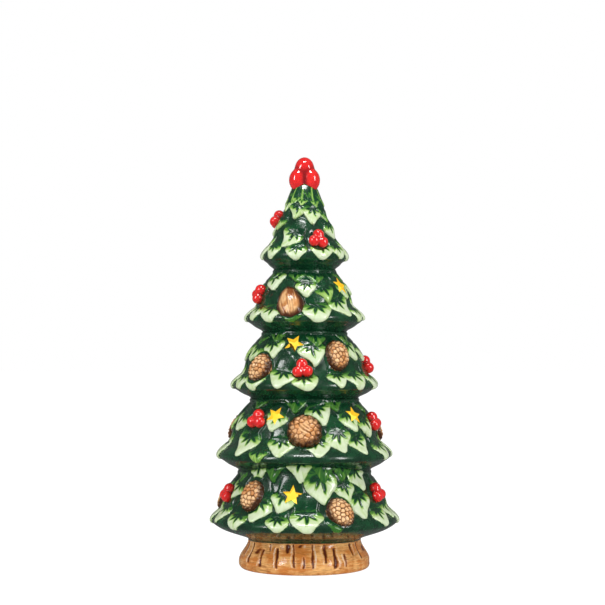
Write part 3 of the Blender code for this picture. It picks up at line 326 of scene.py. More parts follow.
def outline(tier, s, lip=LIP):
    """(radius, height) over the leaf tips: s runs 0 to 1 down the face, on to LIP_END round the lip,
    and to 2 along the underside. Down the face the radius grows by a swell that levels off, then by
    the hem's kick. The lip is a quarter circle."""
    (top_z, top_r), (hem_z, hem_r), (foot_z, foot_r) = tier_ends(tier)
    swell = 1.0 - np.clip(1.0 - s / SHOULDER_END, 0.0, 1.0) ** SHOULDER_POWER[tier - 1]
    kick = smooth((s - HEM_START) / (1.0 - HEM_START))
    face_r = mix(top_r, hem_r, SHOULDER_SHARE * swell + (1.0 - SHOULDER_SHARE) * kick)
    curl = TAU / 4.0 * np.clip((s - 1.0) / (LIP_END - 1.0), 0.0, 1.0)
    lip_r, lip_z = hem_r - lip * (1.0 - np.cos(curl)), hem_z - lip * np.sin(curl)
    under = np.clip((s - LIP_END) / (2.0 - LIP_END), 0.0, 1.0)
    radius = np.where(s <= 1.0, face_r, mix(lip_r, foot_r, smooth(under)))
    height = np.where(s <= 1.0, mix(top_z, hem_z, s), mix(lip_z, foot_z, under))
    return radius, height


print("hem radii in mm:", [round(r / MM, 1) for r in HEM_RADIUS])

# %% [markdown]
# The leaves stand out from a ground that has a smaller lip. Both outlines are walked in equal steps of
# about half a millimetre and averaged with a bell curve, which takes the corners off and keeps the ends.

# %% Equal steps down a tier, with a round lip
OUTLINE_POINTS = 2001
ROW_STEP = 0.00056
LIP_ROUND = 0.0009
LIP_REACH = 0.0050
GROUND_ROUND = 0.0022  # between the leaves the hem is blunter


def rounded(values, step, width):
    """A line averaged with a bell curve, mirrored about its ends so that they stay."""
    reach = int(math.ceil(3.0 * width / step))
    bell = np.exp(-0.5 * (np.arange(-reach, reach + 1) * step / width) ** 2)
    longer = np.pad(values, reach, mode="reflect", reflect_type="odd")
    return np.convolve(longer, bell / bell.sum(), "valid")


class Profile:
    """A tier's outline in equal steps: share s, radius, height, and the way down from its top."""

    def __init__(self, tier):
        s = np.linspace(0.0, 2.0, OUTLINE_POINTS)
        radius, height = outline(tier, s)
        way = np.concatenate(((0.0,), np.cumsum(np.hypot(np.diff(radius), np.diff(height)))))
        self.down = np.linspace(0.0, way[-1], int(way[-1] / ROW_STEP))
        step = self.down[1]
        self.s = np.interp(self.down, way, s)
        self.radius = rounded(np.interp(self.down, way, radius), step, LIP_ROUND)
        self.height = rounded(np.interp(self.down, way, height), step, LIP_ROUND)
        self.hem = np.interp(1.0, s, way)
        lost = HEM_RADIUS[tier - 1] - self.radius.max()
        self.radius += lost * np.exp(-(((self.down - self.hem) / LIP_REACH) ** 2))
        radius, height = outline(tier, s, GROUND_LIP)
        self.ground_radius = rounded(np.interp(self.down, way, radius), step, GROUND_ROUND)
        self.ground_height = rounded(np.interp(self.down, way, height), step, GROUND_ROUND)

    def way_to(self, s):
        """The way down from the tier's top to a share of its outline."""
        return float(np.interp(s, self.s, self.down))

    def share_at(self, height):
        """The share down the face at this height."""
        face = self.s <= 1.0
        return float(np.interp(-height, -self.height[face], self.s[face]))


profiles = {tier: Profile(tier) for tier in range(1, 6)}
print("rows of each tier:", [len(p.down) for p in profiles.values()])

# %% [markdown]
# ### Leaves
# The mould's maker modelled ivy-like leaves in overlapping rows: a broad blunt lobe that points down to
# the hem, two side lobes and two small ones behind. A leaf is drawn here in polar coordinates about
# its own middle: its edge is a circle with a bell-shaped bulge in each lobe's direction. The leaf is a
# thick pillow inside that edge, folded along its veins, and its tip stands higher than its root, so that
# the leaf above covers the root of the leaf below wherever it is the higher of the two.
# The front leaves are placed one by one from the photograph, and those at the sides and the back go on in
# the same rows.

# %% One leaf
LEAF_MIDDLE = 0.58  # from the tip to the leaf's middle, as a share of the leaf's width
LEAF_CORE = 0.41
LEAF_LOBES = ((0.0, 23.0, 0.145), (96.0, 26.0, 0.11))  # direction from the tip, spread, reach
LEAF_ROOT = 0.38  # how much farther the root reaches, under the leaf above
ROOT_FROM, ROOT_OVER = 118.0, 50.0  # degrees from the tip at which it starts to, and the way to all of it
LEAF_LENGTH = 1.35
LEAF_ROOT_HEIGHT = 0.22
LEAF_TIP_HEIGHT = 0.94
LEAF_ROUND = 0.0032
LEAF_WAVER = 0.00045  # how far the modeller's hand strayed from the drawn form
WAVER_UP, WAVER_ACROSS = 0.0021, 0.0024  # one radian of that waver, up the leaf and across it
BURST_MIDDLE = 0.78  # the dark burst's middle, from the tip
BURST_CORE = 0.15
BURST_ARMS = ((0.0, 15.0, 0.25), (50.0, 14.0, 0.20), (88.0, 17.0, 0.26))
BURST_TURN = 14.0  # how far the bursts are turned from leaf to leaf, in degrees
BURST_EDGE = 0.10  # how soft its edge is, in shares of the leaf's width like the next two
BURST_CARVED = 0.30
PALE_UP_TO = 0.66
PALE_EDGE = 0.26
PALE_MORE = 0.05
BARE = 2.0  # paint value of bare dark glaze
PALE_ENOUGH = -0.75


def bulge(t):
    """A quarter circle: from 0 at t = 0 up to 1 at t = 1, where it is level."""
    t = np.clip(t, 0.0, 1.0)
    return np.sqrt(t * (2.0 - t))


def leaf_height(across, up, width, number):
    """(height, paint, angle, distance) of one leaf over points across and up from its tip.
    Height is 0 off the leaf and near 1 at its tip. Paint is below 0 where the leaf is pale."""
    across = across + LEAF_WAVER * np.sin(up / WAVER_UP + 2.1 * number)
    y = up - LEAF_MIDDLE * width + LEAF_WAVER * np.sin(across / WAVER_ACROSS + 1.3 * number)
    side = np.abs(np.degrees(np.arctan2(across, -y)))
    reach = LEAF_CORE + LEAF_ROOT * smooth((side - ROOT_FROM) / ROOT_OVER)
    for direction, spread, lobe in LEAF_LOBES:
        reach = reach + lobe * np.exp(-(((side - direction) / spread) ** 2))
    pillow = bulge((reach * width - np.hypot(across, y)) / LEAF_ROUND)
    near_tip = np.clip(1.0 - up / (LEAF_LENGTH * width), 0.0, 1.0)
    height = pillow * mix(LEAF_ROOT_HEIGHT, LEAF_TIP_HEIGHT, near_tip)
    below = up - BURST_MIDDLE * width
    distance = np.hypot(across, below)
    angle = np.degrees(np.arctan2(across, -below)) + BURST_TURN * math.sin(5.0 * number)
    arm = BURST_CORE
    for i, (direction, spread, length) in enumerate(BURST_ARMS):
        length = length * (0.85 + 0.3 * math.sin(3.0 * number + 2.0 * i) ** 2)
        arm = arm + length * np.exp(-(((np.abs(angle) - direction) / spread) ** 2))
    burst = (arm * width - distance) / (BURST_EDGE * width)
    height = height * (1.0 - BURST_CARVED * smooth(burst * 0.7))
    paint = np.maximum(burst, (up - PALE_UP_TO * width) / (PALE_EDGE * width))
    paint = np.maximum(paint - PALE_MORE, PALE_ENOUGH)
    return height, paint, angle, distance


sample, *_ = leaf_height(np.zeros(2), np.array((0.002, 0.012)), 0.02, 0)
print("a 20 mm leaf at its tip and its middle:", sample.round(2))

# %% Where the leaves are
# For each tier: azimuth in degrees, share down the face of the tip, width in mm, tilt clockwise in
# degrees, and how much pale paint the leaf got: 0 is none, 1 is usual, and the leaves that are seen
# from the side are pale all over.
FRONT_LEAVES = {
    1: (
        (-82, 0.97, 19, 0, 1.8), (-52, 0.96, 16, 6, 0.9), (-13, 1.00, 17, 4, 1.0), (27, 1.00, 19, -4, 1.0),
        (58, 0.97, 17, -8, 0.9), (84, 1.00, 18, 0, 1.8), (18, 0.54, 18, 6, 1.0), (-35, 0.86, 20, 28, 0.9),
        (68, 0.76, 17, -14, 0.9), (-68, 0.62, 15, 10, 0.6), (-25, 0.46, 16, 10, 0.7),
        (58, 0.50, 14, -6, 0.3), (-60, 0.34, 13, 0, 0.8), (-8, 0.27, 9, 3, 0.5), (12, 0.15, 8, -4, 0.1),
        (36, 0.28, 9, -5, 0.4), (-32, 0.22, 9, 6, 0.45), (58, 0.18, 8, 0, 0.15), (-56, 0.13, 8, 0, 0.15),
        (84, 0.26, 10, 0, 0.5), (-84, 0.24, 10, 0, 0.5),
    ),
    2: (
        (-89, 0.98, 21, 0, 1.8), (-62, 0.95, 19, 8, 0.9), (-37, 1.00, 21, 0, 1.0), (-12, 1.02, 17, 0, 0.15),
        (13, 1.05, 24, 0, 1.0), (49, 0.91, 22, -14, 1.0), (68, 0.97, 18, -4, 0.9), (89, 0.95, 21, 0, 1.8),
        (2, 0.62, 17, 0, 1.0), (-42, 0.46, 19, -24, 1.0), (30, 0.70, 17, -12, 0.5), (64, 0.62, 18, -12, 0.7),
        (-76, 0.60, 17, 8, 0.3), (16, 0.34, 15, 4, 0.2), (-12, 0.30, 15, 0, 0.2), (86, 0.55, 16, 0, 0.8),
        (-60, 0.26, 15, 0, 0.2), (70, 0.28, 15, 0, 0.2),
    ),
    3: (
        (-87, 1.00, 22, 0, 1.8), (-64, 0.97, 19, 6, 0.9), (-45, 1.00, 19, 0, 1.0), (-21, 0.95, 22, 6, 1.0),
        (3, 1.02, 20, -10, 1.0), (29, 0.94, 17, 0, 1.0), (50, 0.98, 22, -6, 1.0), (74, 1.00, 21, 0, 1.0),
        (97, 1.00, 21, 0, 1.8), (-32, 0.51, 19, -16, 1.0), (9, 0.66, 22, -2, 1.0), (60, 0.55, 20, -16, 0.9),
        (-66, 0.56, 19, 22, 0.8), (14, 0.30, 16, 0, 0.2), (-36, 0.22, 15, 0, 0.2), (56, 0.26, 16, 0, 0.25),
        (82, 0.56, 19, -6, 0.8), (-84, 0.50, 18, 0, 0.5), (-62, 0.26, 15, 0, 0.2),
    ),
    4: (
        (-83, 1.00, 23, 0, 1.8), (-50, 0.91, 25, 10, 1.0), (-32, 0.98, 17, 0, 0.4), (-16, 0.91, 22, -6, 1.0),
        (9, 0.91, 22, 2, 1.0), (27, 0.87, 23, -4, 1.0), (45, 0.89, 20, -8, 1.0), (68, 0.97, 22, -6, 0.9),
        (95, 1.00, 23, 0, 1.8), (-27, 0.56, 19, 10, 1.0), (16, 0.45, 21, -14, 1.0), (44, 0.57, 21, -14, 0.9),
        (62, 0.68, 20, -14, 0.9), (-68, 0.58, 20, 20, 0.9), (80, 0.58, 20, -4, 0.8), (-88, 0.57, 19, 0, 0.6),
        (-8, 0.24, 17, 0, 0.15), (30, 0.22, 16, 0, 0.2), (-50, 0.20, 16, 0, 0.15), (70, 0.26, 16, 0, 0.2),
    ),
    5: (
        (-88, 1.00, 22, 0, 1.8), (-69, 0.92, 20, 6, 1.0), (-48, 1.00, 20, 4, 0.9), (-34, 0.88, 24, 4, 1.0),
        (-17, 0.99, 18, 0, 1.0), (1, 1.02, 25, 0, 1.0), (20, 0.99, 18, 0, 0.12), (42, 0.85, 25, -4, 1.0),
        (59, 0.95, 21, -8, 1.0), (88, 1.00, 23, 0, 1.8), (74, 0.88, 20, -8, 0.8), (14, 0.58, 25, -6, 1.0),
        (33, 0.55, 18, -8, 1.0), (-18, 0.75, 19, 14, 1.0), (-4, 0.23, 17, 4, 0.9), (-40, 0.23, 17, 0, 0.8),
        (52, 0.34, 22, -22, 1.0), (-66, 0.54, 20, 24, 0.9), (78, 0.52, 20, -8, 0.8), (-88, 0.54, 20, 6, 0.7),
        (14, 0.23, 18, 0, 0.1), (-24, 0.21, 17, 0, 0.1), (30, 0.21, 17, 0, 0.1), (-62, 0.23, 16, 0, 0.2),
    ),
}
# The rows that go on round the back: how many leaves, share down the face, width in mm and paleness.
BACK_ROWS = {
    1: ((5, 1.00, 18, 1.0), (4, 0.70, 17, 0.9), (3, 0.36, 13, 0.5), (7, 0.20, 9, 0.35)),
    2: ((6, 0.97, 21, 1.0), (6, 0.60, 19, 0.9), (5, 0.28, 16, 0.25)),
    3: ((7, 0.99, 21, 1.0), (7, 0.58, 20, 0.9), (6, 0.26, 16, 0.25)),
    4: ((8, 0.96, 22, 1.0), (8, 0.59, 21, 0.9), (7, 0.26, 17, 0.2)),
    5: ((9, 0.97, 23, 1.0), (8, 0.60, 22, 0.9), (8, 0.25, 18, 0.2)),
}
BACK_FROM, BACK_TO = 100.0, 262.0
WOBBLE = (0.0, 0.55, -0.4, 0.2, -0.7, 0.45, -0.15, 0.6, -0.5)  # uneven spacing, as by hand
STEP_WOBBLE, SHARE_WOBBLE, WIDTH_WOBBLE, TILT_WOBBLE = 0.18, 0.035, 0.07, 14.0


def leaves_of(tier):
    """Every leaf of a tier. Round the back, rows are staggered, and each leaf is off its even place
    by a little wobble that also tilts it."""
    leaves = list(FRONT_LEAVES[tier])
    for row, (count, share, width, paleness) in enumerate(BACK_ROWS[tier]):
        spacing = (BACK_TO - BACK_FROM) / count
        for i in range(count):
            wobble = WOBBLE[(3 * i + 2 * row + tier) % len(WOBBLE)]
            step = i + 0.5 + 0.5 * (row % 2) + STEP_WOBBLE * wobble
            place = (BACK_FROM + spacing * step, share + SHARE_WOBBLE * wobble)
            size = width * (1.0 + WIDTH_WOBBLE * wobble)
            leaves.append((*place, size, TILT_WOBBLE * wobble, paleness))
    return leaves


print("leaves in all:", sum(len(leaves_of(tier)) for tier in range(1, 6)))

# %% [markdown]
# ### Seats and star holes
# Where an ornament sits, the model has a flat seat. It can be read back from the ornament's own node:
# its seat is its largest flat face, which looks into the tree, and the line from its middle to its
# farthest corner gives its long side. So the fine ornaments stay exactly where the model has them.

# %% Read the ornaments' seats from the frame
SAME_WAY = 0.9999  # two faces look the same way if the cosine between them is above this


class Seat:
    """The flat foot of an ornament: its middle, and unit vectors right, up the face and out."""

    def __init__(self, node):
        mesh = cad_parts[node].data
        points = np.zeros(len(mesh.vertices) * 3)
        mesh.vertices.foreach_get("co", points)
        points = points.reshape(-1, 3)
        corners = np.zeros(len(mesh.loops), np.int32)
        mesh.loops.foreach_get("vertex_index", corners)
        triangles = points[corners.reshape(-1, 3)]
        cross = np.cross(triangles[:, 1] - triangles[:, 0], triangles[:, 2] - triangles[:, 0])
        area = np.linalg.norm(cross, axis=1)
        normal = cross / np.maximum(area, 1e-12)[:, None]
        alike = (normal @ normal.T > SAME_WAY) @ area
        flat = normal @ normal[alike.argmax()] > SAME_WAY
        self.out = -normal[alike.argmax()]
        self.middle = (triangles[flat].mean(axis=1) * area[flat, None]).sum(axis=0) / area[flat].sum()
        sideways = np.cross((0.0, 0.0, 1.0), self.out)
        right = sideways / np.linalg.norm(sideways)
        up = np.cross(self.out, right)
        rim = triangles[flat].reshape(-1, 3) - self.middle
        x, y = rim @ right, rim @ up
        upper = y > 0.5 * np.abs(x)
        turn = np.arctan2(x, y)[upper][np.hypot(x, y)[upper].argmax()]
        self.half_height = float(np.hypot(x, y)[upper].max())
        self.up = np.cos(turn) * up + np.sin(turn) * right
        self.right = np.cross(self.up, self.out)
        self.half_width = float(np.abs(rim @ self.right).max())
        self.azimuth = math.atan2(self.middle[0], -self.middle[1])
        self.turn = float(turn)

    def place(self, x, y, z):
        """World points for points given to the right, up the face and out of the seat."""
        return self.middle + x[..., None] * self.right + y[..., None] * self.up + z[..., None] * self.out


def kind_of(name):
    """The name of a node without its number."""
    return name.rsplit("_", 1)[0]


ornament_kinds = ("pine_cone", "round_cone", "nut", "berries")
seats = {name: Seat(name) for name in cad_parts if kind_of(name) in ornament_kinds}
print(len(seats), "seats; pine_cone_1 is", round(2 * seats["pine_cone_1"].half_height / MM, 1), "mm tall")

# %% [markdown]
# The stars were punched through the soft clay with a cutter, so each is a straight-sided prism that
# follows the surface's direction there. The table is the model's own: azimuth, share down the tier's
# height, and turn in degrees.

# %% Star holes
STARS = {
    2: ((58, 0.33, 10), (228, 0.35, 30)),
    3: ((-12, 0.21, 24), (112, 0.22, 8), (238, 0.21, 40)),
    4: ((-26, 0.26, 25), (48, 0.26, 12), (118, 0.25, 35), (226, 0.27, 5)),
    5: ((-9, 0.37, 5), (92, 0.34, 20), (218, 0.37, 30)),
}
STAR_CORNERS = 10
STAR_RADIUS = 0.0075
STAR_NOTCH = 0.0034
STAR_REACH = 0.018


def star_frame(tier, azimuth_deg, share, turn_deg):
    """The middle of a star on the tier's face, and its unit vectors right, up and out."""
    (top_z, _), (hem_z, _), _ = tier_ends(tier)
    z = mix(top_z, hem_z, share)
    high, low = min(z + STAR_RADIUS, top_z), max(z - STAR_RADIUS, hem_z)
    shares = (top_z - np.array((high, low))) / (top_z - hem_z)
    high_r, low_r = (float(radius) for radius in outline(tier, shares)[0])
    azimuth = math.radians(azimuth_deg)
    length = math.hypot(high_r - low_r, high - low)
    up = around((high_r - low_r) / length, azimuth, (high - low) / length)
    out = around((high - low) / length, azimuth, -(high_r - low_r) / length)
    right = np.array((math.cos(azimuth), math.sin(azimuth), 0.0))
    turn = math.radians(turn_deg)
    turned_right = math.cos(turn) * right - math.sin(turn) * up
    turned_up = math.sin(turn) * right + math.cos(turn) * up
    return around(mix(high_r, low_r, 0.5), azimuth, mix(high, low, 0.5)), turned_right, turned_up, out


def star_prism(middle, right, up, out):
    """A prism with alternating long and short corners, from outside the wall to inside it."""
    corner = np.arange(STAR_CORNERS)
    radius = np.where(corner % 2 == 0, STAR_RADIUS, STAR_NOTCH)
    angle = TAU / 4.0 + TAU * corner / STAR_CORNERS
    flat = (radius * np.cos(angle))[:, None] * right + (radius * np.sin(angle))[:, None] * up
    return np.stack((middle + STAR_RADIUS * out + flat, middle - STAR_REACH * out + flat))


stars = {tier: [star_frame(tier, *spot) for spot in spots] for tier, spots in STARS.items()}
print("stars:", sum(len(found) for found in stars.values()))

# %% [markdown]
# ### From leaves to relief
# A tier's relief is the highest leaf at each point of the grid. The same winner gives that point its
# paint: how deep it lies inside its leaf's pale border, and a brush coordinate that runs round and out
# from the leaf's middle, along which the glaze will be streaked. Round each ornament the leaves give way
# to a low flat ring, because the seat was pressed into the clay, and round each star the ground is even.

# %% The relief of one tier
COLUMNS = 640
LEAF_RELIEF = 0.0030  # the ground between leaves lies this far inside the outline
LEAF_START = 0.0030  # the leaves rise out of the crease above over this way
GROUND_START = 0.0045  # and the ground falls back from it over this way
LEAF_FADE = (1.10, 1.55)  # on the underside the leaves end between these places of outline()
GROUND_FADE = (1.40, 1.90)  # and the ground comes out to the foot between these
TIP_WRAP = 0.0060  # how far a hem leaf's tip lies round the lip
TIP_WRAP_FROM = 0.80
HEM_SHALLOW = 0.45  # on the lip the relief is this much lower
HEM_SHALLOW_FROM = 0.75
CROWN_GROUND = 0.10  # at the crown the ground falls back by this share only
CROWN_START = 0.024  # and it falls back in full this far down
# The creases aren't level. In front, the roots of the leaves below fill them: how much higher and
# farther out each crease is there than at the sides, from the crown down to the neck.
CREASE_FILL = ((0.0, 0.0), (0.0, 0.0), (0.0013, 0.0010), (0.0015, 0.0020), (0.0073, 0.0062), (0.0013, 0.0))
CREASE_HALF_ARC = 75.0
CREASE_REACH = 0.36  # the fill fades out over this share of the way down the face
CREASE_UNDER = (2.0, 1.05)  # and between these places of outline() up the underside
LEAF_REACH = 1.9  # no leaf reaches farther from its tip, in shares of its width
PALENESS_PAINT = 1.3
BRUSH_SHIFT = 0.031  # each leaf's strokes start this far on in the noise
ARC_MARGIN = 1.6  # a tier is narrower above, so a spot takes in this many times its reach sideways
CROWN_STROKES = 10  # upright ridges round the crown, brushed with light green
CROWN_STROKE_RELIEF = 0.9
CROWN_STROKE_SWAY = 0.0045
CROWN_STROKE_FADE = (0.007, 0.021)
CROWN_STROKE_PAINT = -0.05
NEST_HEIGHT = 0.30  # of the ring round an ornament
NEST_RING = 0.0022
NEST_MARGIN = 0.002  # an ornament may sit this far below the hem
STAR_GROUND = 0.42  # the even ground round a star has this height
STAR_FADE = (1.02, 1.47)  # and ends between these shares of the star's radius
azimuths = TAU * np.arange(COLUMNS) / COLUMNS


def half_turn(angle):
    """The same direction, counted from minus to plus half a turn."""
    return (angle + math.pi) % TAU - math.pi


def front_hump(azimuth):
    """A hump of a cosine: 1 in front, 0 from CREASE_HALF_ARC on at both sides."""
    share = np.clip(np.abs(np.degrees(half_turn(azimuth))) / CREASE_HALF_ARC, 0.0, 1.0)
    return 0.5 + 0.5 * np.cos(math.pi * share)


def fade(x, start, end):
    """From 1 at the start to 0 at the end."""
    return 1.0 - smooth((x - start) / (end - start))


def local_points(profile, azimuth, down, tilt, reach):
    """Grid rows and columns near a spot, and how far right and up of it they lie along the surface."""
    turned = half_turn(azimuths - azimuth)
    columns = np.nonzero(np.abs(turned) * profile.radius.max() < ARC_MARGIN * reach)[0]
    rows = np.nonzero(np.abs(down - profile.down) < reach)[0]
    x = turned[columns][None, :] * profile.radius[rows][:, None]
    y = np.broadcast_to((down - profile.down[rows])[:, None], x.shape)
    c, s = math.cos(tilt), math.sin(tilt)
    return np.ix_(rows, columns), c * x - s * y, s * x + c * y


def lay_leaves(tier):
    """Height, paint and brush of the leaves alone. At each point the highest leaf wins."""
    profile = profiles[tier]
    shape = (len(profile.down), COLUMNS)
    height, paint = np.zeros(shape), np.full(shape, BARE)
    brush = np.zeros((*shape, 3))
    for number, (azimuth, share, width, tilt, paleness) in enumerate(leaves_of(tier)):
        width = width * MM
        wrap = TIP_WRAP * smooth((share - TIP_WRAP_FROM) / (1.0 - TIP_WRAP_FROM))
        spot = (math.radians(azimuth), profile.way_to(share) + wrap, math.radians(tilt))
        cells, x, y = local_points(profile, *spot, LEAF_REACH * width)
        here, painted, angle, distance = leaf_height(x, y, width, number)
        painted = painted + PALENESS_PAINT * (1.0 - paleness)
        own = np.full_like(x, BRUSH_SHIFT * number)
        run = np.stack((np.radians(angle) * width, distance, own), axis=-1)
        over = here > height[cells]
        height[cells] = np.where(over, here, height[cells])
        paint[cells] = np.where(over, painted, paint[cells])
        brush[cells] = np.where(over[..., None], run, brush[cells])
    return height, paint, brush


def crown_strokes(down):
    """Upright ridges round the crown, which sway a little and fade out on the way down."""
    sway = CROWN_STROKES * azimuths + 1.1 * np.sin(down / CROWN_STROKE_SWAY) + 0.4
    return (0.5 + 0.5 * np.cos(sway)) ** 2 * fade(down, *CROWN_STROKE_FADE)


def relief_of(tier):
    """Maps over the tier's grid: height from 0 to 1, paint, and the brush's coordinates."""
    profile = profiles[tier]
    height, paint, brush = lay_leaves(tier)
    ends = fade(profile.s, *LEAF_FADE)
    if tier > 1:
        ends = ends * smooth(profile.down / LEAF_START)
    height *= ends[:, None]
    if tier == 1:
        stroke = crown_strokes(profile.down[:, None])
        height = np.maximum(height, CROWN_STROKE_RELIEF * stroke)
        paint = np.minimum(paint, mix(BARE, CROWN_STROKE_PAINT, stroke))
    for middle, *_ in stars.get(tier, ()):
        down = profile.way_to(profile.share_at(middle[2]))
        spot = (math.atan2(middle[0], -middle[1]), down, 0.0)
        cells, x, y = local_points(profile, *spot, STAR_REACH)
        even = fade(np.hypot(x, y) / STAR_RADIUS, *STAR_FADE)
        height[cells] = mix(height[cells], STAR_GROUND, even)
    (top_z, _), (hem_z, _), _ = tier_ends(tier)
    for seat in seats.values():
        if not hem_z - NEST_MARGIN < seat.middle[2] < top_z:
            continue
        down = profile.way_to(profile.share_at(seat.middle[2]))
        cells, x, y = local_points(profile, seat.azimuth, down, seat.turn, 2.0 * seat.half_height)
        reach = np.hypot(x / seat.half_width, y / seat.half_height)
        ring = fade((reach - 1.0) * seat.half_width, 0.0, NEST_RING)
        height[cells] = mix(height[cells], NEST_HEIGHT * ends[cells[0]], ring)
        paint[cells] = np.maximum(paint[cells], mix(-1.0, BARE, ring))
    return height, paint, brush


def tier_grid(tier, height):
    """The outside: the ground a little inside the blunt outline, raised to the sharp outline where the
    relief's height is 1. Both ends follow the filled creases."""
    profile = profiles[tier]
    at_top = CROWN_GROUND if tier == 1 else 0.0
    full_after = CROWN_START if tier == 1 else GROUND_START
    rise = fade(profile.s, *GROUND_FADE) * mix(at_top, 1.0, smooth(profile.down / full_after))
    shallow = HEM_SHALLOW * smooth((profile.s - HEM_SHALLOW_FROM) / (1.0 - HEM_SHALLOW_FROM))
    depth = LEAF_RELIEF * (1.0 - shallow)
    low_radius = mix(profile.radius, profile.ground_radius - depth * rise, rise)
    low_height = mix(profile.height, profile.ground_height, rise)
    radius = mix(low_radius[:, None], profile.radius[:, None], height)
    level = mix(low_height[:, None], profile.height[:, None], height)
    near_top = fade(profile.down, 0.0, CREASE_REACH * profile.hem)
    near_foot = fade(profile.s, *CREASE_UNDER)
    for near, (up, out) in ((near_top, CREASE_FILL[tier - 1]), (near_foot, CREASE_FILL[tier])):
        raised = near[:, None] * front_hump(azimuths)
        radius = radius + raised * out
        level = level + raised * up
    return around(radius, azimuths[None, :], level)


reliefs = {tier: relief_of(tier) for tier in range(1, 6)}
print("share of leaf on each tier:", [round(float((r[0] > 0.05).mean()), 2) for r in reliefs.values()])

# %% [markdown]
# ### Leaf glaze
# The painter washed the whole tree in bottle green and left or wiped the leaf borders pale, so the two
# meet in brush strokes that run out along the leaf: between pale cream green and bottle green lies a
# short yellow green. The paint value decides, pushed about by noise that is stretched along the brush's
# path. The ground and the undersides stay dark, and a clear, very smooth glaze lies over all.

# %% Leaf glaze
PALE_GREEN = rgb(204, 217, 184)
SOFT_GREEN = rgb(187, 206, 152)
LIGHT_GREEN = rgb(150, 186, 92)
GRASS_GREEN = rgb(62, 118, 38)
BOTTLE_GREEN = rgb(12, 70, 37)
DEEP_GREEN = rgb(4, 46, 25)

leaf_glaze = Finish("leaf_glaze", roughness=0.09, Coat_Weight=0.35, Coat_Roughness=0.06, Coat_IOR=1.6)
brush = leaf_glaze.attribute("brush", "Vector")
fine_streaks = brush.stretch(1.0, 0.16, 1.0).noise(900.0, 3.0, 0.6)
broad_streaks = brush.stretch(1.0, 0.22, 1.0).noise(330.0, 2.0, 0.5)
clouds = leaf_glaze.place.noise(140.0, 3.0, 0.55)
specks = leaf_glaze.place.noise(1500.0, 2.0, 0.6)
paint, lift = leaf_glaze.attribute("paint"), leaf_glaze.attribute("lift")
depth = paint + (fine_streaks - 0.5) * 0.85 + (broad_streaks - 0.5) * 0.9
# Where the relief is low the green is deeper: painted shade in the crevices, mixed with a random tone from
# the clouds.
tone_and_crevice_shade = clouds.ramp(0.35, 0.7) * 0.75 + lift.ramp(0.1, 0.9) * 0.25
coat = depth.ramp(0.90, 0.16).blend(tone_and_crevice_shade.blend(DEEP_GREEN, BOTTLE_GREEN), GRASS_GREEN)
coat = depth.ramp(0.34, -0.18).blend(coat, LIGHT_GREEN)
border = (clouds * 0.7 + broad_streaks * 0.5).ramp(0.54, 0.80).blend(PALE_GREEN, SOFT_GREEN)
coat = (depth + (specks - 0.5) * 0.2).ramp(-0.03, -0.66).blend(coat, border)
bare_ground = paint.ramp(1.2, 1.9)
leaf_glaze.cover(
    coat, 0.10 + clouds * 0.10 + bare_ground * 0.12, broad_streaks * 0.45 + clouds * 0.7, 0.0004, 0.75)

# %% [markdown]
# Behind a star the hollow is lit. The lamp's dome throws an even warm light on the bare inside of the
# wall, so that wall simply glows here. Real lamps inside would need long renders and would add noise,
# and no more would be seen. The cut edge of a star is clay with glaze run over it, and its deep gold in
# that light is painted as a glow of its own.

# %% Lit inside and star edges
lit_clay = Finish("lit_clay", roughness=0.6, Emission_Strength=1.0)
drift = lit_clay.place.noise(60.0, 2.0)
lit_clay.feed("Base Color", drift.blend(rgb(120, 84, 16), rgb(150, 110, 30)))
lit_clay.feed("Emission Color", drift.ramp(0.3, 0.7).blend(rgb(252, 217, 56), rgb(253, 232, 88)))

# The star edge's gold glow is painted light from the lit hollow.
star_edge = Finish("star_edge_glaze_and_glow", roughness=0.2, Emission_Strength=0.75)
grain = star_edge.place.noise(700.0, 3.0)
star_edge.feed("Base Color", grain.blend(rgb(120, 84, 20), rgb(196, 150, 44)))
star_edge.feed("Emission Color", grain.blend(rgb(222, 172, 34), rgb(248, 212, 62)))
print("glaze nodes:", len(leaf_glaze.tree.nodes))

# %% [markdown]
# ### One closed piece a tier
# Each tier is a grid that runs down its outside, up the plain inside of the wall and back to its start.
# Only the top tier is closed on the axis, over its crown and under the hollow's top. The maps go onto
# the mesh's corners, because Blender carries corner values through a Boolean cut and would lose
# values that sit on its points. The stars are then cut with an exact Boolean.

# %% The tiers' meshes
HOLLOW_TOP_DEPTH = 0.0090
HOLLOW_TOP_RADIUS = 0.0030
WALL = 0.0040
FACE_WALL = 0.0014  # behind the ground between the leaves, as thin as the stars' edges show
HEM_WALL = 0.0064
CROWN_ROWS = 12
CROWN_ROUND = 0.0008
COLLAR_RISE = 0.0034  # between two berries of the finial, the crown's leaves reach this far up it
COLLAR_LEAN = 0.0016
COLLAR_REACH = 0.0075
COLLAR_SEAT = 0.55  # inside this share of its radius the crown is flat
STAR_EDGE_ANGLE = 62.0  # edges that turn by more degrees than this are sharp


def collar(tier, grid):
    """The crown's edge rises in three lobes and leans in: a squared cosine between two berries."""
    lobe = np.clip(np.cos(1.5 * ((azimuths + TAU / 6.0) % (TAU / 3.0) - TAU / 6.0)), 0.0, 1.0) ** 2
    near = fade(profiles[tier].down, 0.0, COLLAR_REACH)[:, None] * lobe
    radius = np.hypot(grid[..., 0], grid[..., 1])
    leaning = (radius - COLLAR_LEAN * near**2) / radius
    raised = grid[..., 2] + COLLAR_RISE * near
    return np.stack((grid[..., 0] * leaning, grid[..., 1] * leaning, raised), axis=-1)


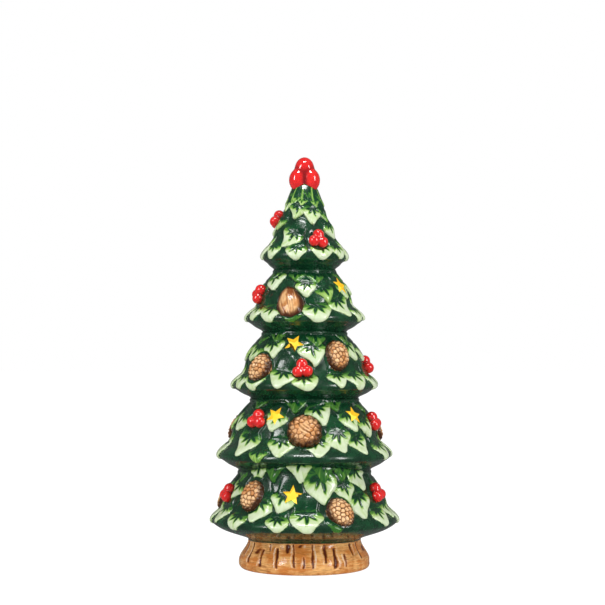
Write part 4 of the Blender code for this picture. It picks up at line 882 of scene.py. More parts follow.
def crown_rows(ring):
    """Rings from near the axis out to the top ring: a flat seat, then up to the edge in an S-curve."""
    share = ((np.arange(CROWN_ROWS) + 0.5) / CROWN_ROWS)[:, None]
    rows = ring[None, :, :] * np.stack((share, share, np.zeros_like(share)), axis=-1)
    edge = ring[:, 2] + CROWN_ROUND * np.sqrt(np.clip(1.0 - share**8, 0.0, 1.0))
    rise = smooth((share - COLLAR_SEAT) / (1.0 - COLLAR_SEAT))
    rows[..., 2] = mix(CROWN_Z - 2.0 * CROWN_ROUND, edge, rise)
    return rows


def hollow_rows(tier):
    """(radius, height) up the inside of a tier's wall, from its foot to its top."""
    (top_z, top_r), (hem_z, hem_r), (foot_z, foot_r) = tier_ends(tier)
    shoulder_r, shoulder_z = (float(v) for v in outline(tier, np.array(0.5)))
    top = (HOLLOW_TOP_RADIUS, top_z - HOLLOW_TOP_DEPTH) if tier == 1 else (top_r - WALL, top_z)
    return np.array((
        (foot_r - WALL, foot_z),
        (hem_r - LEAF_RELIEF - HEM_WALL, hem_z + WALL),
        (shoulder_r - LEAF_RELIEF - FACE_WALL, shoulder_z),
        top,
    ))


def put_on_corners(mesh, name, values, first=0, blank=0.0, pole=None):
    """Stores a map on each face's corners. Its values are those of a grid of the mesh's points that
    starts at the first one given. Other points stay blank, but the middle above may have a value."""
    whole = np.full((len(mesh.vertices), *values.shape[2:]), blank)
    whole[first:first + values.shape[0] * values.shape[1]] = values.reshape(-1, *values.shape[2:])
    if pole is not None:
        whole[-2] = pole
    corners = np.zeros(len(mesh.loops), np.int32)
    mesh.loops.foreach_get("vertex_index", corners)
    kind, field = ("FLOAT", "value") if values.ndim == 2 else ("FLOAT_VECTOR", "vector")
    made = mesh.attributes.new(name, kind, "CORNER")
    made.data.foreach_set(field, np.ravel(whole[corners]).astype(np.float32))


def tier_mesh(tier):
    """A tier's closed mesh with its maps, and for each face the number of its material."""
    height, paint, brush = reliefs[tier]
    outside = tier_grid(tier, height)
    inside = hollow_rows(tier)
    inner = around(inside[:, :1], azimuths[None, :], inside[:, 1:])
    crown = np.zeros((0, COLUMNS, 3))
    if tier == 1:
        outside = collar(tier, outside)
        crown = crown_rows(outside[0])
    mesh = grid_mesh(f"tier_{tier}", np.concatenate((crown, outside, inner)), wrapped=tier > 1)
    first = len(crown) * COLUMNS
    put_on_corners(mesh, "lift", height, first)
    put_on_corners(mesh, "paint", paint, first, BARE)
    put_on_corners(mesh, "brush", brush, first)
    sides = np.zeros(len(mesh.polygons), np.int32)
    first_inner = first + len(outside) * COLUMNS
    sides[first_inner:first_inner + (len(inner) - 1) * COLUMNS] = 1
    if tier == 1:
        sides[-COLUMNS:] = 1
    return mesh, sides


def prisms_mesh(prisms):
    """One mesh of all the prisms, each of its corners and then the middles of its two ends."""
    corners = np.stack(prisms)
    count, in_all = len(corners), 2 * STAR_CORNERS
    points = np.concatenate((corners.reshape(count, in_all, 3), corners.mean(axis=2)), axis=1)
    first = (in_all + 2) * np.arange(count)[:, None, None]
    corner = np.arange(STAR_CORNERS)
    beside = (corner + 1) % STAR_CORNERS
    middle = np.full(STAR_CORNERS, in_all)
    outer = np.stack((middle, corner, beside), axis=-1)
    inner = np.stack((middle + 1, STAR_CORNERS + beside, STAR_CORNERS + corner), axis=-1)
    triangles = np.concatenate((outer, inner))[None] + first
    quads = grid_faces(2, STAR_CORNERS, False)[None] + first
    return mesh_of("star_cutter", points.reshape(-1, 3), quads.reshape(-1, 4), triangles)


def cut_stars(thing, prisms):
    """Cuts star prisms out of a tier. The cut's walls take the prisms' material."""
    mesh = prisms_mesh(prisms)
    mesh.materials.append(star_edge.material)
    cutter = bpy.data.objects.new("star_cutter", mesh)
    bpy.context.scene.collection.objects.link(cutter)
    step = thing.modifiers.new("stars", "BOOLEAN")
    step.operation = "DIFFERENCE"
    step.solver = "EXACT"
    step.material_mode = "TRANSFER"
    step.object = cutter
    bpy.context.view_layer.update()
    cut = bpy.data.meshes.new_from_object(thing.evaluated_get(bpy.context.evaluated_depsgraph_get()))
    cut.set_sharp_from_angle(angle=math.radians(STAR_EDGE_ANGLE))
    thing.modifiers.clear()
    thing.data = cut
    bpy.data.objects.remove(cutter)


# %% Make the tiers
for tier in range(1, 6):
    mesh, sides = tier_mesh(tier)
    thing = piece(f"leaf_tier_{tier}", mesh, f"tree_tier_{tier}", leaf_glaze, lit_clay)
    mesh.polygons.foreach_set("material_index", sides)
    if tier in stars:
        cut_stars(thing, [star_prism(*star) for star in stars[tier]])
    print(thing.name, len(thing.data.polygons), "faces", [m.name for m in thing.data.materials])

# %% [markdown]
# ## Ornaments
# Cones, nuts and berries were pressed into small plaster moulds, so their backs are flat and their faces
# are low reliefs. A relief is a height over the seat, drawn in polar form: rows run from the middle out to
# the rim, and then a skirt goes down into the clay. The relief of a cone is a set of scales. Each point
# belongs to the scale whose middle is nearest, so the lines between the scales come out by themselves.

# %% Reliefs on a seat
ORNAMENT_COLUMNS = 120
ORNAMENT_ROWS = 46
SKIRT = 0.0030
SKIRT_TAPER = 0.96


def disc(seat):
    """Polar points over a seat: shares of the way to the rim, and metres right and up of its middle."""
    share = np.linspace(0.0, 1.0, ORNAMENT_ROWS + 1)[1:, None]
    angle = TAU * np.arange(ORNAMENT_COLUMNS)[None, :] / ORNAMENT_COLUMNS
    share, angle = np.broadcast_arrays(share, angle)
    return share, angle, share * seat.half_width * np.sin(angle), share * seat.half_height * np.cos(angle)


def dome(share, power=2.0):
    """A low dome: 1 in the middle, 0 at the rim, steeper near the rim."""
    return np.sqrt(np.clip(1.0 - share**power, 0.0, 1.0))


def nearest(x, y, middles):
    """For each point, how much farther its second nearest middle is than its nearest, and which
    that is."""
    apart = np.hypot(x[..., None] - middles[:, 0], y[..., None] - middles[:, 1])
    order = np.argpartition(apart, 1, axis=-1)[..., :2]
    first, second = np.moveaxis(np.take_along_axis(apart, order, axis=-1), -1, 0)
    return second - first, order[..., 0]


def wavy_rim(share, pillow, amount):
    """How far the rim goes out and in with its scales: a factor round 1."""
    return 1.0 + amount * (pillow - 0.6) * smooth((share - 0.7) / 0.3)


def scattered(number, seed=0.0):
    """A value from 0 to 1 that looks random but is the same every time: the fraction of a big sine."""
    return np.modf(np.abs(np.sin(number * 12.9898 + seed * 78.233) * 43758.5453))[0]


def ornament(name, seat, x, y, height, maps, finish):
    """A closed relief on its seat, with a skirt into the clay and maps for the glaze."""
    skirt = [seat.place(taper * x[-1], taper * y[-1], np.full(ORNAMENT_COLUMNS, -depth))
             for taper, depth in ((1.0, 0.5 * SKIRT), (SKIRT_TAPER, SKIRT))]
    grid = np.concatenate((seat.place(x, y, height), skirt))
    mesh = grid_mesh(name, grid[:, ::-1])
    for map_name, values in maps.items():
        put_on_corners(mesh, map_name, values[:, ::-1], pole=values[0].mean(axis=0))
    piece(f"{name}_relief", mesh, name, finish)


def numbered(kind):
    """(number, name, seat) for every ornament of a kind."""
    found = [(name, seat) for name, seat in seats.items() if kind_of(name) == kind]
    return [(int(name.rsplit("_", 1)[1]), name, seat) for name, seat in found]


print("cones, nuts, berries:", [len(numbered(kind)) for kind in ornament_kinds])

# %% [markdown]
# ### Pine cones
# The scales of a pine cone stand in crossed spirals. Seen from one side that is a pattern of staggered
# rows, which crowd together towards the rim because the cone turns away there. Each scale is a small
# pillow that stands proud at its lower end. The glaze is tan on the scales and has run dark brown into the
# lines between them and round the rim.

# %% Cone glaze
CONE_TAN = rgb(234, 192, 142)
CONE_ORANGE = rgb(200, 134, 74)
CONE_BROWN = rgb(140, 86, 42)
CONE_DARK = rgb(64, 34, 15)

cone_glaze = Finish("cone_glaze", roughness=0.12)
cone_noise = cone_glaze.place.noise(420.0, 3.0, 0.6)
cone_clouds = cone_glaze.place.noise(150.0, 2.0)
scale_top = cone_glaze.attribute("scale_top")
tone = cone_glaze.attribute("tone")
worn = scale_top + (cone_noise - 0.5) * 0.5
body = (tone * 0.6 + cone_clouds * 0.5).ramp(0.15, 0.85).blend(CONE_ORANGE, CONE_TAN)
lines = worn.ramp(0.66, 0.26).blend(body, CONE_BROWN)
deep = (worn + (cone_clouds - 0.5) * 0.5).ramp(0.36, 0.08).blend(lines, CONE_DARK)
rim_shade = (cone_glaze.attribute("rim") + (cone_noise - 0.5) * 0.5).ramp(0.68, 0.94)
cone_glaze.cover(rim_shade.blend(deep, CONE_DARK), 0.10 + cone_noise * 0.08, cone_noise, 0.00015, 0.6)

# %% Pine cones
SCALE_WIDTH = 0.0037
SCALE_HEIGHT = 0.0032
SCALE_RELIEF = 0.0022
SCALE_ROWS, SCALES_IN_ROW = np.arange(-8, 9), np.arange(-7, 8)  # enough for the largest cone
CONE_DOME = 0.005332  # the height of the body under the scales
CONE_SINK = 0.0004


def pine_cone(number, name, seat):
    """Scales in staggered rows, crowded towards the rim by the arc sine."""
    share, _, x, y = disc(seat)
    rounder_x = seat.half_width * np.arcsin(np.clip(x / seat.half_width, -1.0, 1.0))
    rounder_y = seat.half_height * np.arcsin(np.clip(y / seat.half_height, -1.0, 1.0))
    row, column = (a.ravel() for a in np.meshgrid(SCALE_ROWS, SCALES_IN_ROW, indexing="ij"))
    key = row * 17.0 + column + 31.0 * number  # a number of its own for each scale
    middles = np.stack((
        (column + 0.5 * (row % 2) + 0.6 * (scattered(key) - 0.5)) * SCALE_WIDTH,
        (row + 0.6 * (scattered(key, 1.0) - 0.5)) * SCALE_HEIGHT,
    ), axis=-1)
    between, which = nearest(rounder_x, rounder_y, middles)
    drop = (middles[which, 1] - rounder_y) / SCALE_HEIGHT
    pillow = bulge(between / (0.95 * SCALE_WIDTH)) * (0.85 + 0.35 * drop)
    scale_size = 1.0 - 0.5 * smooth((share - 0.8) / 0.2)
    height = CONE_DOME * dome(share, 2.3) + SCALE_RELIEF * pillow * scale_size - CONE_SINK
    wavy = wavy_rim(share, pillow, 0.09)
    maps = {"scale_top": pillow, "tone": scattered(key, 2.0)[which], "rim": share}
    ornament(name, seat, x * wavy, y * wavy, height, maps, cone_glaze)


for number, name, seat in numbered("pine_cone"):
    pine_cone(number, name, seat)
print("scales up a cone:", round(2 * seats["pine_cone_1"].half_height / SCALE_HEIGHT))

# %% [markdown]
# ### Round cones
# A round cone is seen from its end. Its scales sit on a sunflower spiral: each one is turned by the golden
# angle from the last and lies farther out. The outer scales are larger and darker, and the middle was
# painted with a few upright strokes.

# %% Round cones
GOLDEN_ANGLE = math.radians(137.508)
ROUND_SCALES = 34
ROUND_SCALE_EDGE = (0.0022, 0.0010)  # a scale's soft edge in the middle, and how much more at the rim
ROUND_DOME = 0.005412
STROKE_ACROSS, STROKE_UP = 0.00042, 0.0023  # one radian of the strokes, and of their sway
SEAM_WIDTH = 0.0006


def round_cone(number, name, seat):
    """Scales on a sunflower spiral, with strokes and a seam up the middle."""
    share, _, x, y = disc(seat)
    k = np.arange(ROUND_SCALES)
    out = 0.93 * seat.half_width * np.sqrt((k + 0.5) / ROUND_SCALES) ** 0.9
    turn = GOLDEN_ANGLE * k + 1.7 * number
    between, which = nearest(x, y, np.stack((out * np.sin(turn), out * np.cos(turn)), axis=-1))
    pillow = bulge(between / (ROUND_SCALE_EDGE[0] + ROUND_SCALE_EDGE[1] * share))
    middle = fade(share, 0.22, 0.44)
    stroke = 0.5 + 0.5 * np.sin(x / STROKE_ACROSS + 0.9 * np.sin(y / STROKE_UP + number))
    carved = mix(pillow, 0.45 + 0.4 * stroke, middle)
    relief = SCALE_RELIEF * (0.45 + 0.75 * share) * (1.0 - 0.4 * smooth((share - 0.88) / 0.12))
    height = ROUND_DOME * dome(share, 2.6) + relief * carved - CONE_SINK
    seam = np.exp(-((x / SEAM_WIDTH) ** 2)) * fade(share, 0.45, 0.65)
    wavy = wavy_rim(share, pillow, 0.08)
    shades = scattered(k + 7.0 * number)[which] * (0.95 - 0.7 * share)
    maps = {
        "scale_top": np.clip(0.86 * carved - 0.2 * seam, 0.0, 1.0),
        "tone": mix(shades, 0.40 + 0.3 * stroke, middle),
        "rim": 0.20 + 0.78 * share,
    }
    ornament(name, seat, x * wavy, y * wavy, height, maps, cone_glaze)


for number, name, seat in numbered("round_cone"):
    round_cone(number, name, seat)
print("scales on a round cone:", ROUND_SCALES)

# %% [markdown]
# ### Nuts
# The nuts are smooth eggs, broader below, with shallow grooves that run up their faces and meet at the
# ends. A dry brush of brown was drawn along them, and the rim has a dark burnt line.

# %% Nuts
NUT_LIGHT = rgb(232, 186, 132)
NUT_TAN = rgb(196, 134, 78)
NUT_BROWN = rgb(122, 66, 32)
NUT_DARK = rgb(66, 32, 18)
NUT_THICKNESS = 0.0066
NUT_WIDER, NUT_TALLER = 1.08, 1.2  # the nut's glazed rim laps over its nest
NUT_EGG = 0.10  # how much broader it is below than above its middle
NUT_GROOVE = 0.00022

nut_glaze = Finish("nut_glaze", roughness=0.12)
along_nut = nut_glaze.attribute("run", "Vector")
dry_brush = along_nut.stretch(1.0, 0.09, 1.0).noise(1300.0, 4.0, 0.65)
wide_brush = along_nut.stretch(1.0, 0.14, 1.0).noise(420.0, 2.0, 0.5)
patches = nut_glaze.place.noise(180.0, 3.0)
base = patches.ramp(0.35, 0.65).blend(NUT_TAN, NUT_LIGHT)
brushed = (dry_brush * 0.6 + wide_brush * 0.5).ramp(0.48, 0.68).blend(base, NUT_BROWN)
end_wash = (nut_glaze.attribute("ends") + (dry_brush - 0.5) * 0.9).ramp(0.45, 1.0).blend(brushed, NUT_BROWN)
burnt = (nut_glaze.attribute("rim") + (patches - 0.5) * 0.4).ramp(0.62, 0.86).blend(end_wash, NUT_DARK)
nut_glaze.cover(burnt, 0.10 + patches * 0.08, dry_brush * 0.5 + wide_brush * 0.5, 0.0005, 0.8)


def nut(number, name, seat):
    """An egg with grooves up its face, which the brush follows too."""
    share, angle, x, y = disc(seat)
    up = y / seat.half_height
    uneven = 1.0 + 0.03 * np.sin(3.0 * angle + number) + 0.018 * np.sin(8.0 * angle + 2.0 * number)
    half_chord = seat.half_width * np.maximum(np.sqrt(1.0 - 0.98 * up**2), 0.2)
    round_face = np.arcsin(np.clip(x / half_chord, -1.0, 1.0))
    grooves = np.cos(round_face * 9.0 + 0.5 * np.sin(4.0 * up + number))
    height = NUT_THICKNESS * dome(share, 2.1) + NUT_GROOVE * grooves * dome(share) - CONE_SINK
    run = np.stack((round_face * 0.7 * seat.half_width, y, np.full_like(y, 0.05 * number)), axis=-1)
    wider, taller = uneven * (1.0 - NUT_EGG * up) * NUT_WIDER, uneven * NUT_TALLER
    maps = {"rim": share, "ends": np.abs(up), "run": run}
    ornament(name, seat, x * wider, y * taller, height, maps, nut_glaze)


for number, name, seat in numbered("nut"):
    nut(number, name, seat)
print("nuts:", len(numbered("nut")))

# %% [markdown]
# ### Berries
# Three berries were rolled and pressed together, and the lines between them are darkened by painted shade.
# Such a form is the surface where a smooth union of balls has no distance left: each ball's distance is
# measured, and a soft minimum joins them with a small fillet. From a point inside, rays go out in all
# directions of a grid, and each walks in from far out by the distance that is left, until it touches.

# %% A smooth union of balls
BERRY_ROWS = 44
BERRY_COLUMNS = 72
WALK_STEPS = 28
NEAREST_WAY = 0.0002  # a ray never goes back farther than this


def union_grid(middle, axes, balls, fillet, start):
    """Points on the smooth union of balls, as a grid of rays from a middle. Each ball is (centre,
    radii along the three axes). The last axis is the one that the grid's poles are on."""
    polar = (np.arange(BERRY_ROWS) + 0.5) / BERRY_ROWS * math.pi
    turn = TAU * np.arange(BERRY_COLUMNS) / BERRY_COLUMNS
    polar, turn = np.meshgrid(polar, turn, indexing="ij")
    rays = np.stack((np.sin(polar) * np.cos(turn), np.sin(polar) * np.sin(turn), np.cos(polar)), axis=-1)
    way = np.full(polar.shape, start)
    for _ in range(WALK_STEPS):
        points = rays * way[..., None]
        total = np.zeros(polar.shape)
        for centre, radii in balls:
            scaled = (points - centre) / radii
            apart = (np.linalg.norm(scaled, axis=-1) - 1.0) * np.min(radii)
            total += np.exp(-apart / fillet)
        way = np.maximum(way + fillet * np.log(total), NEAREST_WAY)
    return middle + (rays * way[..., None]) @ np.asarray(axes), way


berry_glaze = Finish("berry_glaze", roughness=0.07, IOR=1.7, Coat_Weight=0.8, Coat_Roughness=0.12)
red_clouds = berry_glaze.place.noise(190.0, 3.0, 0.55)
fine_red = berry_glaze.place.noise(900.0, 2.0)
# Darker red in the folds between the berries is painted shade.
fold_shade = berry_glaze.attribute("painted_fold_shade").ramp(0.0, 1.0)
red_body = (red_clouds * 0.85 + fine_red * 0.15).ramp(0.25, 0.75).blend(rgb(208, 19, 21), rgb(231, 40, 37))
berry_glaze.cover(
    fold_shade.blend(red_body, rgb(126, 4, 10)), 0.08 + red_clouds * 0.06, red_clouds, 0.00015, 0.4)

# %% Clusters of three
BERRY_RADIUS = 0.0041
BERRY_NEST = 0.0016
BERRY_RISE = 0.0022
BERRY_MIDDLE = 0.001  # the rays start this far over the seat
BERRY_FAR = 0.011  # and are walked in from here
BERRY_FILLET = 0.0006
FOLD_SHADE_DEPTH = 0.0003


def fold_shade_of(way):
    """Painted shade in the folds: how far the surface lies below a smoothed copy of itself, in
    FOLD_SHADE_DEPTHs.
    """
    wide = way
    for _ in range(6):
        above, below = np.vstack((wide[:1], wide[:-1])), np.vstack((wide[1:], wide[-1:]))
        wide = (wide + np.roll(wide, 1, axis=1) + np.roll(wide, -1, axis=1) + above + below) / 5.0
    return np.clip((wide - way) / FOLD_SHADE_DEPTH, 0.0, 1.0)


def red_piece(name, grid, way, node):
    """A berry piece of this grid. Its ways along the rays tell where the folds get painted shade."""
    mesh = grid_mesh(name, grid)
    put_on_corners(mesh, "painted_fold_shade", fold_shade_of(way))
    piece(name, mesh, node, berry_glaze)


def berries(number, name, seat):
    """Three balls of slightly uneven size in a triangle over the seat."""
    spread = (2.0 * BERRY_RADIUS - BERRY_NEST) / math.sqrt(3.0)
    balls = []
    for i in range(3):
        angle = math.radians(90.0 + 120.0 * i)
        key = 3.0 * number + i
        rise = BERRY_RISE + 0.0003 * scattered(key, 1.0) - BERRY_MIDDLE
        centre = np.array((spread * math.cos(angle), spread * math.sin(angle), rise))
        balls.append((centre, np.full(3, BERRY_RADIUS * (0.97 + 0.07 * scattered(key)))))
    middle = seat.middle + BERRY_MIDDLE * seat.out
    grid, way = union_grid(middle, (seat.right, seat.up, seat.out), balls, BERRY_FILLET, BERRY_FAR)
    red_piece(f"{name}_trio", grid, way, name)


for number, name, seat in numbered("berries"):
    berries(number, name, seat)
print("clusters:", len(numbered("berries")))

# %% [markdown]
# ### The finial
# Four larger berries crown the tree: three long ones side by side and one on top. They were modelled in
# one lump, so their fillets are wider than those of the small clusters.

# %% Finial
SIDE_RADIUS = 0.0067
SIDE_TALL = 1.25
SIDE_RISE = 0.0071
SIDE_SPREAD = 0.0056
TOP_RADIUS = 0.0072
TOP_TALL = 1.2
TOP_RISE = 0.0158
FINIAL_MIDDLE = 0.0085
FINIAL_FAR = 0.022
FINIAL_FILLET = 0.0010

top_ball = (np.array((0.0, 0.0, TOP_RISE - FINIAL_MIDDLE)), TOP_RADIUS * np.array((1.0, 1.0, TOP_TALL)))
finial_balls = [top_ball]
for azimuth in (60.0, 180.0, 300.0):
    centre = around(SIDE_SPREAD, math.radians(azimuth), SIDE_RISE - FINIAL_MIDDLE)
    finial_balls.append((centre, SIDE_RADIUS * np.array((1.0, 1.0, SIDE_TALL))))
finial_grid, finial_way = union_grid(
    np.array((0.0, 0.0, CROWN_Z + FINIAL_MIDDLE)), np.eye(3), finial_balls, FINIAL_FILLET, FINIAL_FAR)
red_piece("finial_berries", finial_grid, finial_way, "berry_finial")
print("finial top at", round(float(finial_grid[..., 2].max()) / MM, 1), "mm")

# %% [markdown]
# ## The trunk
# The flared trunk was cast with the tree. Its bark was cut with a knife while the clay was soft: upright
# grooves of uneven length, which can be counted in front and go round the back in the same way. Brown
# glaze was brushed round it sideways and dark glaze was run into the cuts; pale streaks beside some cuts
# are painted highlights. Its foot and its inside are bare clay, because glaze there would stick to the
# kiln's shelf.

# %% Bark glaze
BARK_GOLD = rgb(248, 190, 118)
BARK_ORANGE = rgb(211, 131, 62)
BARK_BROWN = rgb(150, 79, 29)
BARK_DARK = rgb(88, 38, 18)
BARK_PALE = rgb(250, 226, 196)

bark_glaze = Finish("bark_glaze", roughness=0.14)
sideways = bark_glaze.place.stretch(0.10, 0.10, 1.0)
thin_strokes = sideways.noise(1700.0, 3.0, 0.6)
wide_strokes = sideways.noise(480.0, 2.0, 0.5)
blotches = bark_glaze.place.noise(120.0, 3.0, 0.6)
groove = bark_glaze.attribute("groove")
painted_highlight = bark_glaze.attribute("painted_highlight")
coat = (wide_strokes * 0.5 + blotches * 0.6).ramp(0.46, 0.66).blend(BARK_ORANGE, BARK_GOLD)
brown_strokes = (thin_strokes * 0.7 + wide_strokes * 0.4).ramp(0.52, 0.74) * 0.75
# Pale streaks beside the grooves are painted highlights.
highlight_strokes = (painted_highlight + (thin_strokes - 0.5) * 0.8).ramp(0.35, 0.95) * 0.8
run_in = (groove + (thin_strokes - 0.5) * 0.7 + (blotches - 0.5) * 0.6).ramp(0.16, 0.62)
coat = run_in.blend(highlight_strokes.blend(brown_strokes.blend(coat, BARK_BROWN), BARK_PALE), BARK_BROWN)
coat = (groove + (blotches - 0.5) * 0.9).ramp(0.42, 0.9).blend(coat, BARK_DARK)
bark_glaze.cover(coat, 0.10 + blotches * 0.09, thin_strokes * 0.4 + wide_strokes * 0.6, 0.00025, 0.7)
print("bark nodes:", len(bark_glaze.tree.nodes))

# %% Bare clay
bisque = Finish("bisque", roughness=0.85, Specular_IOR_Level=0.3)
clay_clouds = bisque.place.noise(90.0, 3.0, 0.6)
clay_grain = bisque.place.noise(2600.0, 2.0, 0.6)
clay = (clay_clouds * 0.7 + clay_grain * 0.3).blend(rgb(222, 210, 190), rgb(242, 236, 224))
bisque.cover(clay, 0.78 + clay_grain * 0.14, clay_grain, 0.00012, 0.6)

# %% The trunk's outline and its grooves
TRUNK_COLUMNS = 720
GAP = 0.0003  # between the trunk and the lowest tier
TRUNK_TOP = NECK_Z - GAP
FOOT_RADIUS, FOOT_Z, FOOT_ROUND = 0.0489, 0.0049, 0.0034
RING_RADIUS, FLOOR_Z, FLOOR_TOP = 0.03735, 0.0037, 0.0077
BORE_RADIUS = 0.03335
BARK_RADIUS = 0.0455  # of the bark about halfway down, for the grooves' places
GROOVE_SOFT = 0.0016  # a groove runs out over this way at its ends
GROOVE_LEAN_MOST = 30.0
GROOVE_WAVES = ((0.00018, 0.0016, 2.0), (0.0001, 0.0005, 1.0))  # size, one radian, shift per groove
GROOVE_SWELL = 0.0021  # one radian of a groove's width as it swells and narrows on the way down
CHAMFER = 0.0003
# Azimuth in degrees, top and bottom height, width and depth in mm, and lean in degrees.
FRONT_GROOVES = (
    (-74, 20.5, 9.0, 0.9, 0.5, -6), (-60, 20.5, 6.5, 0.7, 0.6, -8), (-50, 17.0, 13.2, 2.2, 0.35, 60),
    (-43, 16.5, 5.0, 1.0, 0.7, -7), (-36, 20.5, 15.5, 0.6, 0.45, -5), (-26, 18.0, 4.8, 0.9, 0.9, -8),
    (-16.5, 20.5, 14.5, 1.3, 0.7, -3), (-10, 20.6, 5.6, 0.7, 0.8, -6), (-4, 20.4, 18.2, 1.6, 0.3, 70),
    (-0.6, 13.0, 5.0, 0.6, 0.7, 0), (7.4, 20.6, 5.2, 0.8, 0.9, 2), (19.5, 20.6, 8.5, 1.1, 0.8, 4),
    (28.5, 18.0, 4.8, 1.2, 0.9, 7), (39.0, 14.0, 5.0, 0.8, 0.6, 8), (51.0, 20.5, 12.0, 1.0, 0.6, 6),
    (63.0, 20.5, 9.5, 0.8, 0.5, 8),
)


def trunk_radius(z):
    """Upright at the neck, then flaring to the foot by an S-curve of the way down."""
    return mix(NECK_RADIUS, FOOT_RADIUS, smooth((TRUNK_TOP - z) / (TRUNK_TOP - FOOT_Z)))


def grooves():
    """The grooves in front, then the same row turned twice, the second time from right to left."""
    right = [(azimuth + 129.0, *rest) for azimuth, *rest in FRONT_GROOVES if azimuth > -55.0]
    left = [(-azimuth - 118.0, *rest, -lean) for azimuth, *rest, lean in FRONT_GROOVES if azimuth > -40.0]
    return [*FRONT_GROOVES, *right, *left]


def groove_maps(z, azimuth):
    """(depth in metres, depth as a share, painted highlight beside a groove) of the bark over a grid. A
    groove is a bell curve across its line, its edges waver, and both its ends run out."""
    depth, shares, highlights = (np.zeros(np.broadcast_shapes(z.shape, azimuth.shape)) for _ in range(3))
    for number, (middle, high, low, width, deep, lean) in enumerate(grooves()):
        deep, centre = deep * MM, 0.5 * (high + low) * MM
        width = width * MM * (1.2 + 0.35 * np.sin(z / GROOVE_SWELL + 4.0 * number))
        turned = half_turn(azimuth - math.radians(middle))
        slope = math.tan(math.radians(max(-GROOVE_LEAN_MOST, min(GROOVE_LEAN_MOST, lean))))
        waver = sum(size * np.sin(z / radian + shift * number) for size, radian, shift in GROOVE_WAVES)
        x = turned * BARK_RADIUS - (z - centre) * slope + waver
        ends = smooth((high * MM - z) / GROOVE_SOFT + 0.5) * smooth((z - low * MM) / GROOVE_SOFT + 0.5)
        bell = np.exp(-((x / width) ** 2)) * ends
        depth = np.maximum(depth, deep * bell)
        shares = np.maximum(shares, bell * (0.75 + 0.25 * scattered(number)))
        # Beside one edge of each groove lies a pale streak, a painted highlight.
        side = 1.0 if number % 2 else -1.0
        rim = np.exp(-(((x + 1.9 * width * side) / (0.9 * width)) ** 2)) * ends
        highlights = np.maximum(highlights, rim * (0.55 + 0.45 * scattered(number, 2.0)))
    return depth, shares, highlights * (1.0 - shares)


def chamfered(corners):
    """A line of (radius, height) whose inner corners are cut off by a small chamfer."""
    corners = np.array(corners)
    along = np.diff(corners, axis=0)
    along = along / np.linalg.norm(along, axis=-1, keepdims=True)
    before, after = corners[1:-1] - CHAMFER * along[:-1], corners[1:-1] + CHAMFER * along[1:]
    cut = np.stack((before, after), axis=1).reshape(-1, 2)
    return np.vstack((corners[:1], cut, corners[-1:]))


print("grooves round the trunk:", len(grooves()))

# %% [markdown]
# The piece is one closed loop, lathed: down the outside, round the foot, under the foot ring, up through
# the bore that the light unit plugs into, and up the inside to the top. The top follows the leaves of
# the lowest tier, which come down a little less far in front.

# %% Make the trunk
ROLL_DEPTH, ROLL_HALF = 0.0004, 0.0022  # a shallow hollow just over the foot
TRUNK_EDGE_ANGLE = 40.0
turn = TAU * np.arange(TRUNK_COLUMNS)[None, :] / TRUNK_COLUMNS
face_z = np.linspace(TRUNK_TOP, FOOT_Z, 64)
curl = np.linspace(0.0, TAU / 4.0, 16)[1:]
outside_r = np.concatenate((trunk_radius(face_z), FOOT_RADIUS - FOOT_ROUND * (1.0 - np.cos(curl))))
outside_z = np.concatenate((face_z, FOOT_Z * (1.0 - np.sin(curl))))
level = outside_z[:, None]
depth, groove_share, groove_highlight = groove_maps(level, turn)
above_foot = smooth(level / FOOT_Z)
uneven = 0.00022 * np.sin(3.0 * turn + 0.7) + 0.00016 * np.sin(7.0 * turn + level / 0.006)
roll = ROLL_DEPTH * np.exp(-(((level - FOOT_Z) / ROLL_HALF) ** 2))
bark_r = outside_r[:, None] + (uneven - roll - depth) * above_foot
top_fill, _ = CREASE_FILL[-1]
lift_top = top_fill * front_hump(turn)
bark_grid = around(bark_r, turn, level + lift_top * smooth((level - FOOT_Z) / (TRUNK_TOP - FOOT_Z)))
inside_line = chamfered((
    (FOOT_RADIUS - FOOT_ROUND, 0.0),
    (RING_RADIUS, 0.0),
    (RING_RADIUS, FLOOR_Z),
    (BORE_RADIUS, FLOOR_Z),
    (BORE_RADIUS, FLOOR_TOP),
    (float(trunk_radius(FLOOR_TOP)) - WALL, FLOOR_TOP),
    (NECK_RADIUS - WALL, TRUNK_TOP),
))[1:]
at_top = np.zeros((len(inside_line), 1))
at_top[-1] = 1.0
lining = around(inside_line[:, :1], turn, inside_line[:, 1:] + at_top * lift_top)
trunk_mesh = grid_mesh("bark_trunk", np.concatenate((bark_grid, lining)), wrapped=True)
put_on_corners(trunk_mesh, "groove", groove_share * above_foot)
put_on_corners(trunk_mesh, "painted_highlight", groove_highlight * above_foot)
trunk_mesh.set_sharp_from_angle(angle=math.radians(TRUNK_EDGE_ANGLE))
piece("bark_trunk", trunk_mesh, "trunk_base", bark_glaze, bisque)
lined = np.zeros(len(trunk_mesh.polygons), np.int32)
lined[(len(bark_grid) - 1) * TRUNK_COLUMNS:] = 1
trunk_mesh.polygons.foreach_set("material_index", lined)
print("trunk faces:", len(trunk_mesh.polygons))

# %% [markdown]
# ## The light unit
# The unit isn't seen in the photograph, only its light, so its parts are worked out from such units. They
# are carried over from the model as they are, and each gets its material here. A node's own mesh isn't
# touched: the finish goes into the object's material slots.


# %% Dress the nodes that are carried over
def dress(finish, *nodes):
    """Puts a finish on nodes of the model, in their objects' slots."""
    for node in nodes:
        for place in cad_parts[node].material_slots:
            place.link = "OBJECT"
            place.material = finish.material


def length(x, y):
    """How far a point is from the middle: the root of its squares' sum."""
    return (x * x + y * y) ** 0.5


def near(signal, value, reach):
    """1 where a signal equals a value, falling to 0 at a reach on both sides."""
    return (signal - value).size().ramp(reach, 0.0)


print("mesh nodes in the model:", sum(thing.type == "MESH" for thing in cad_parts.values()))

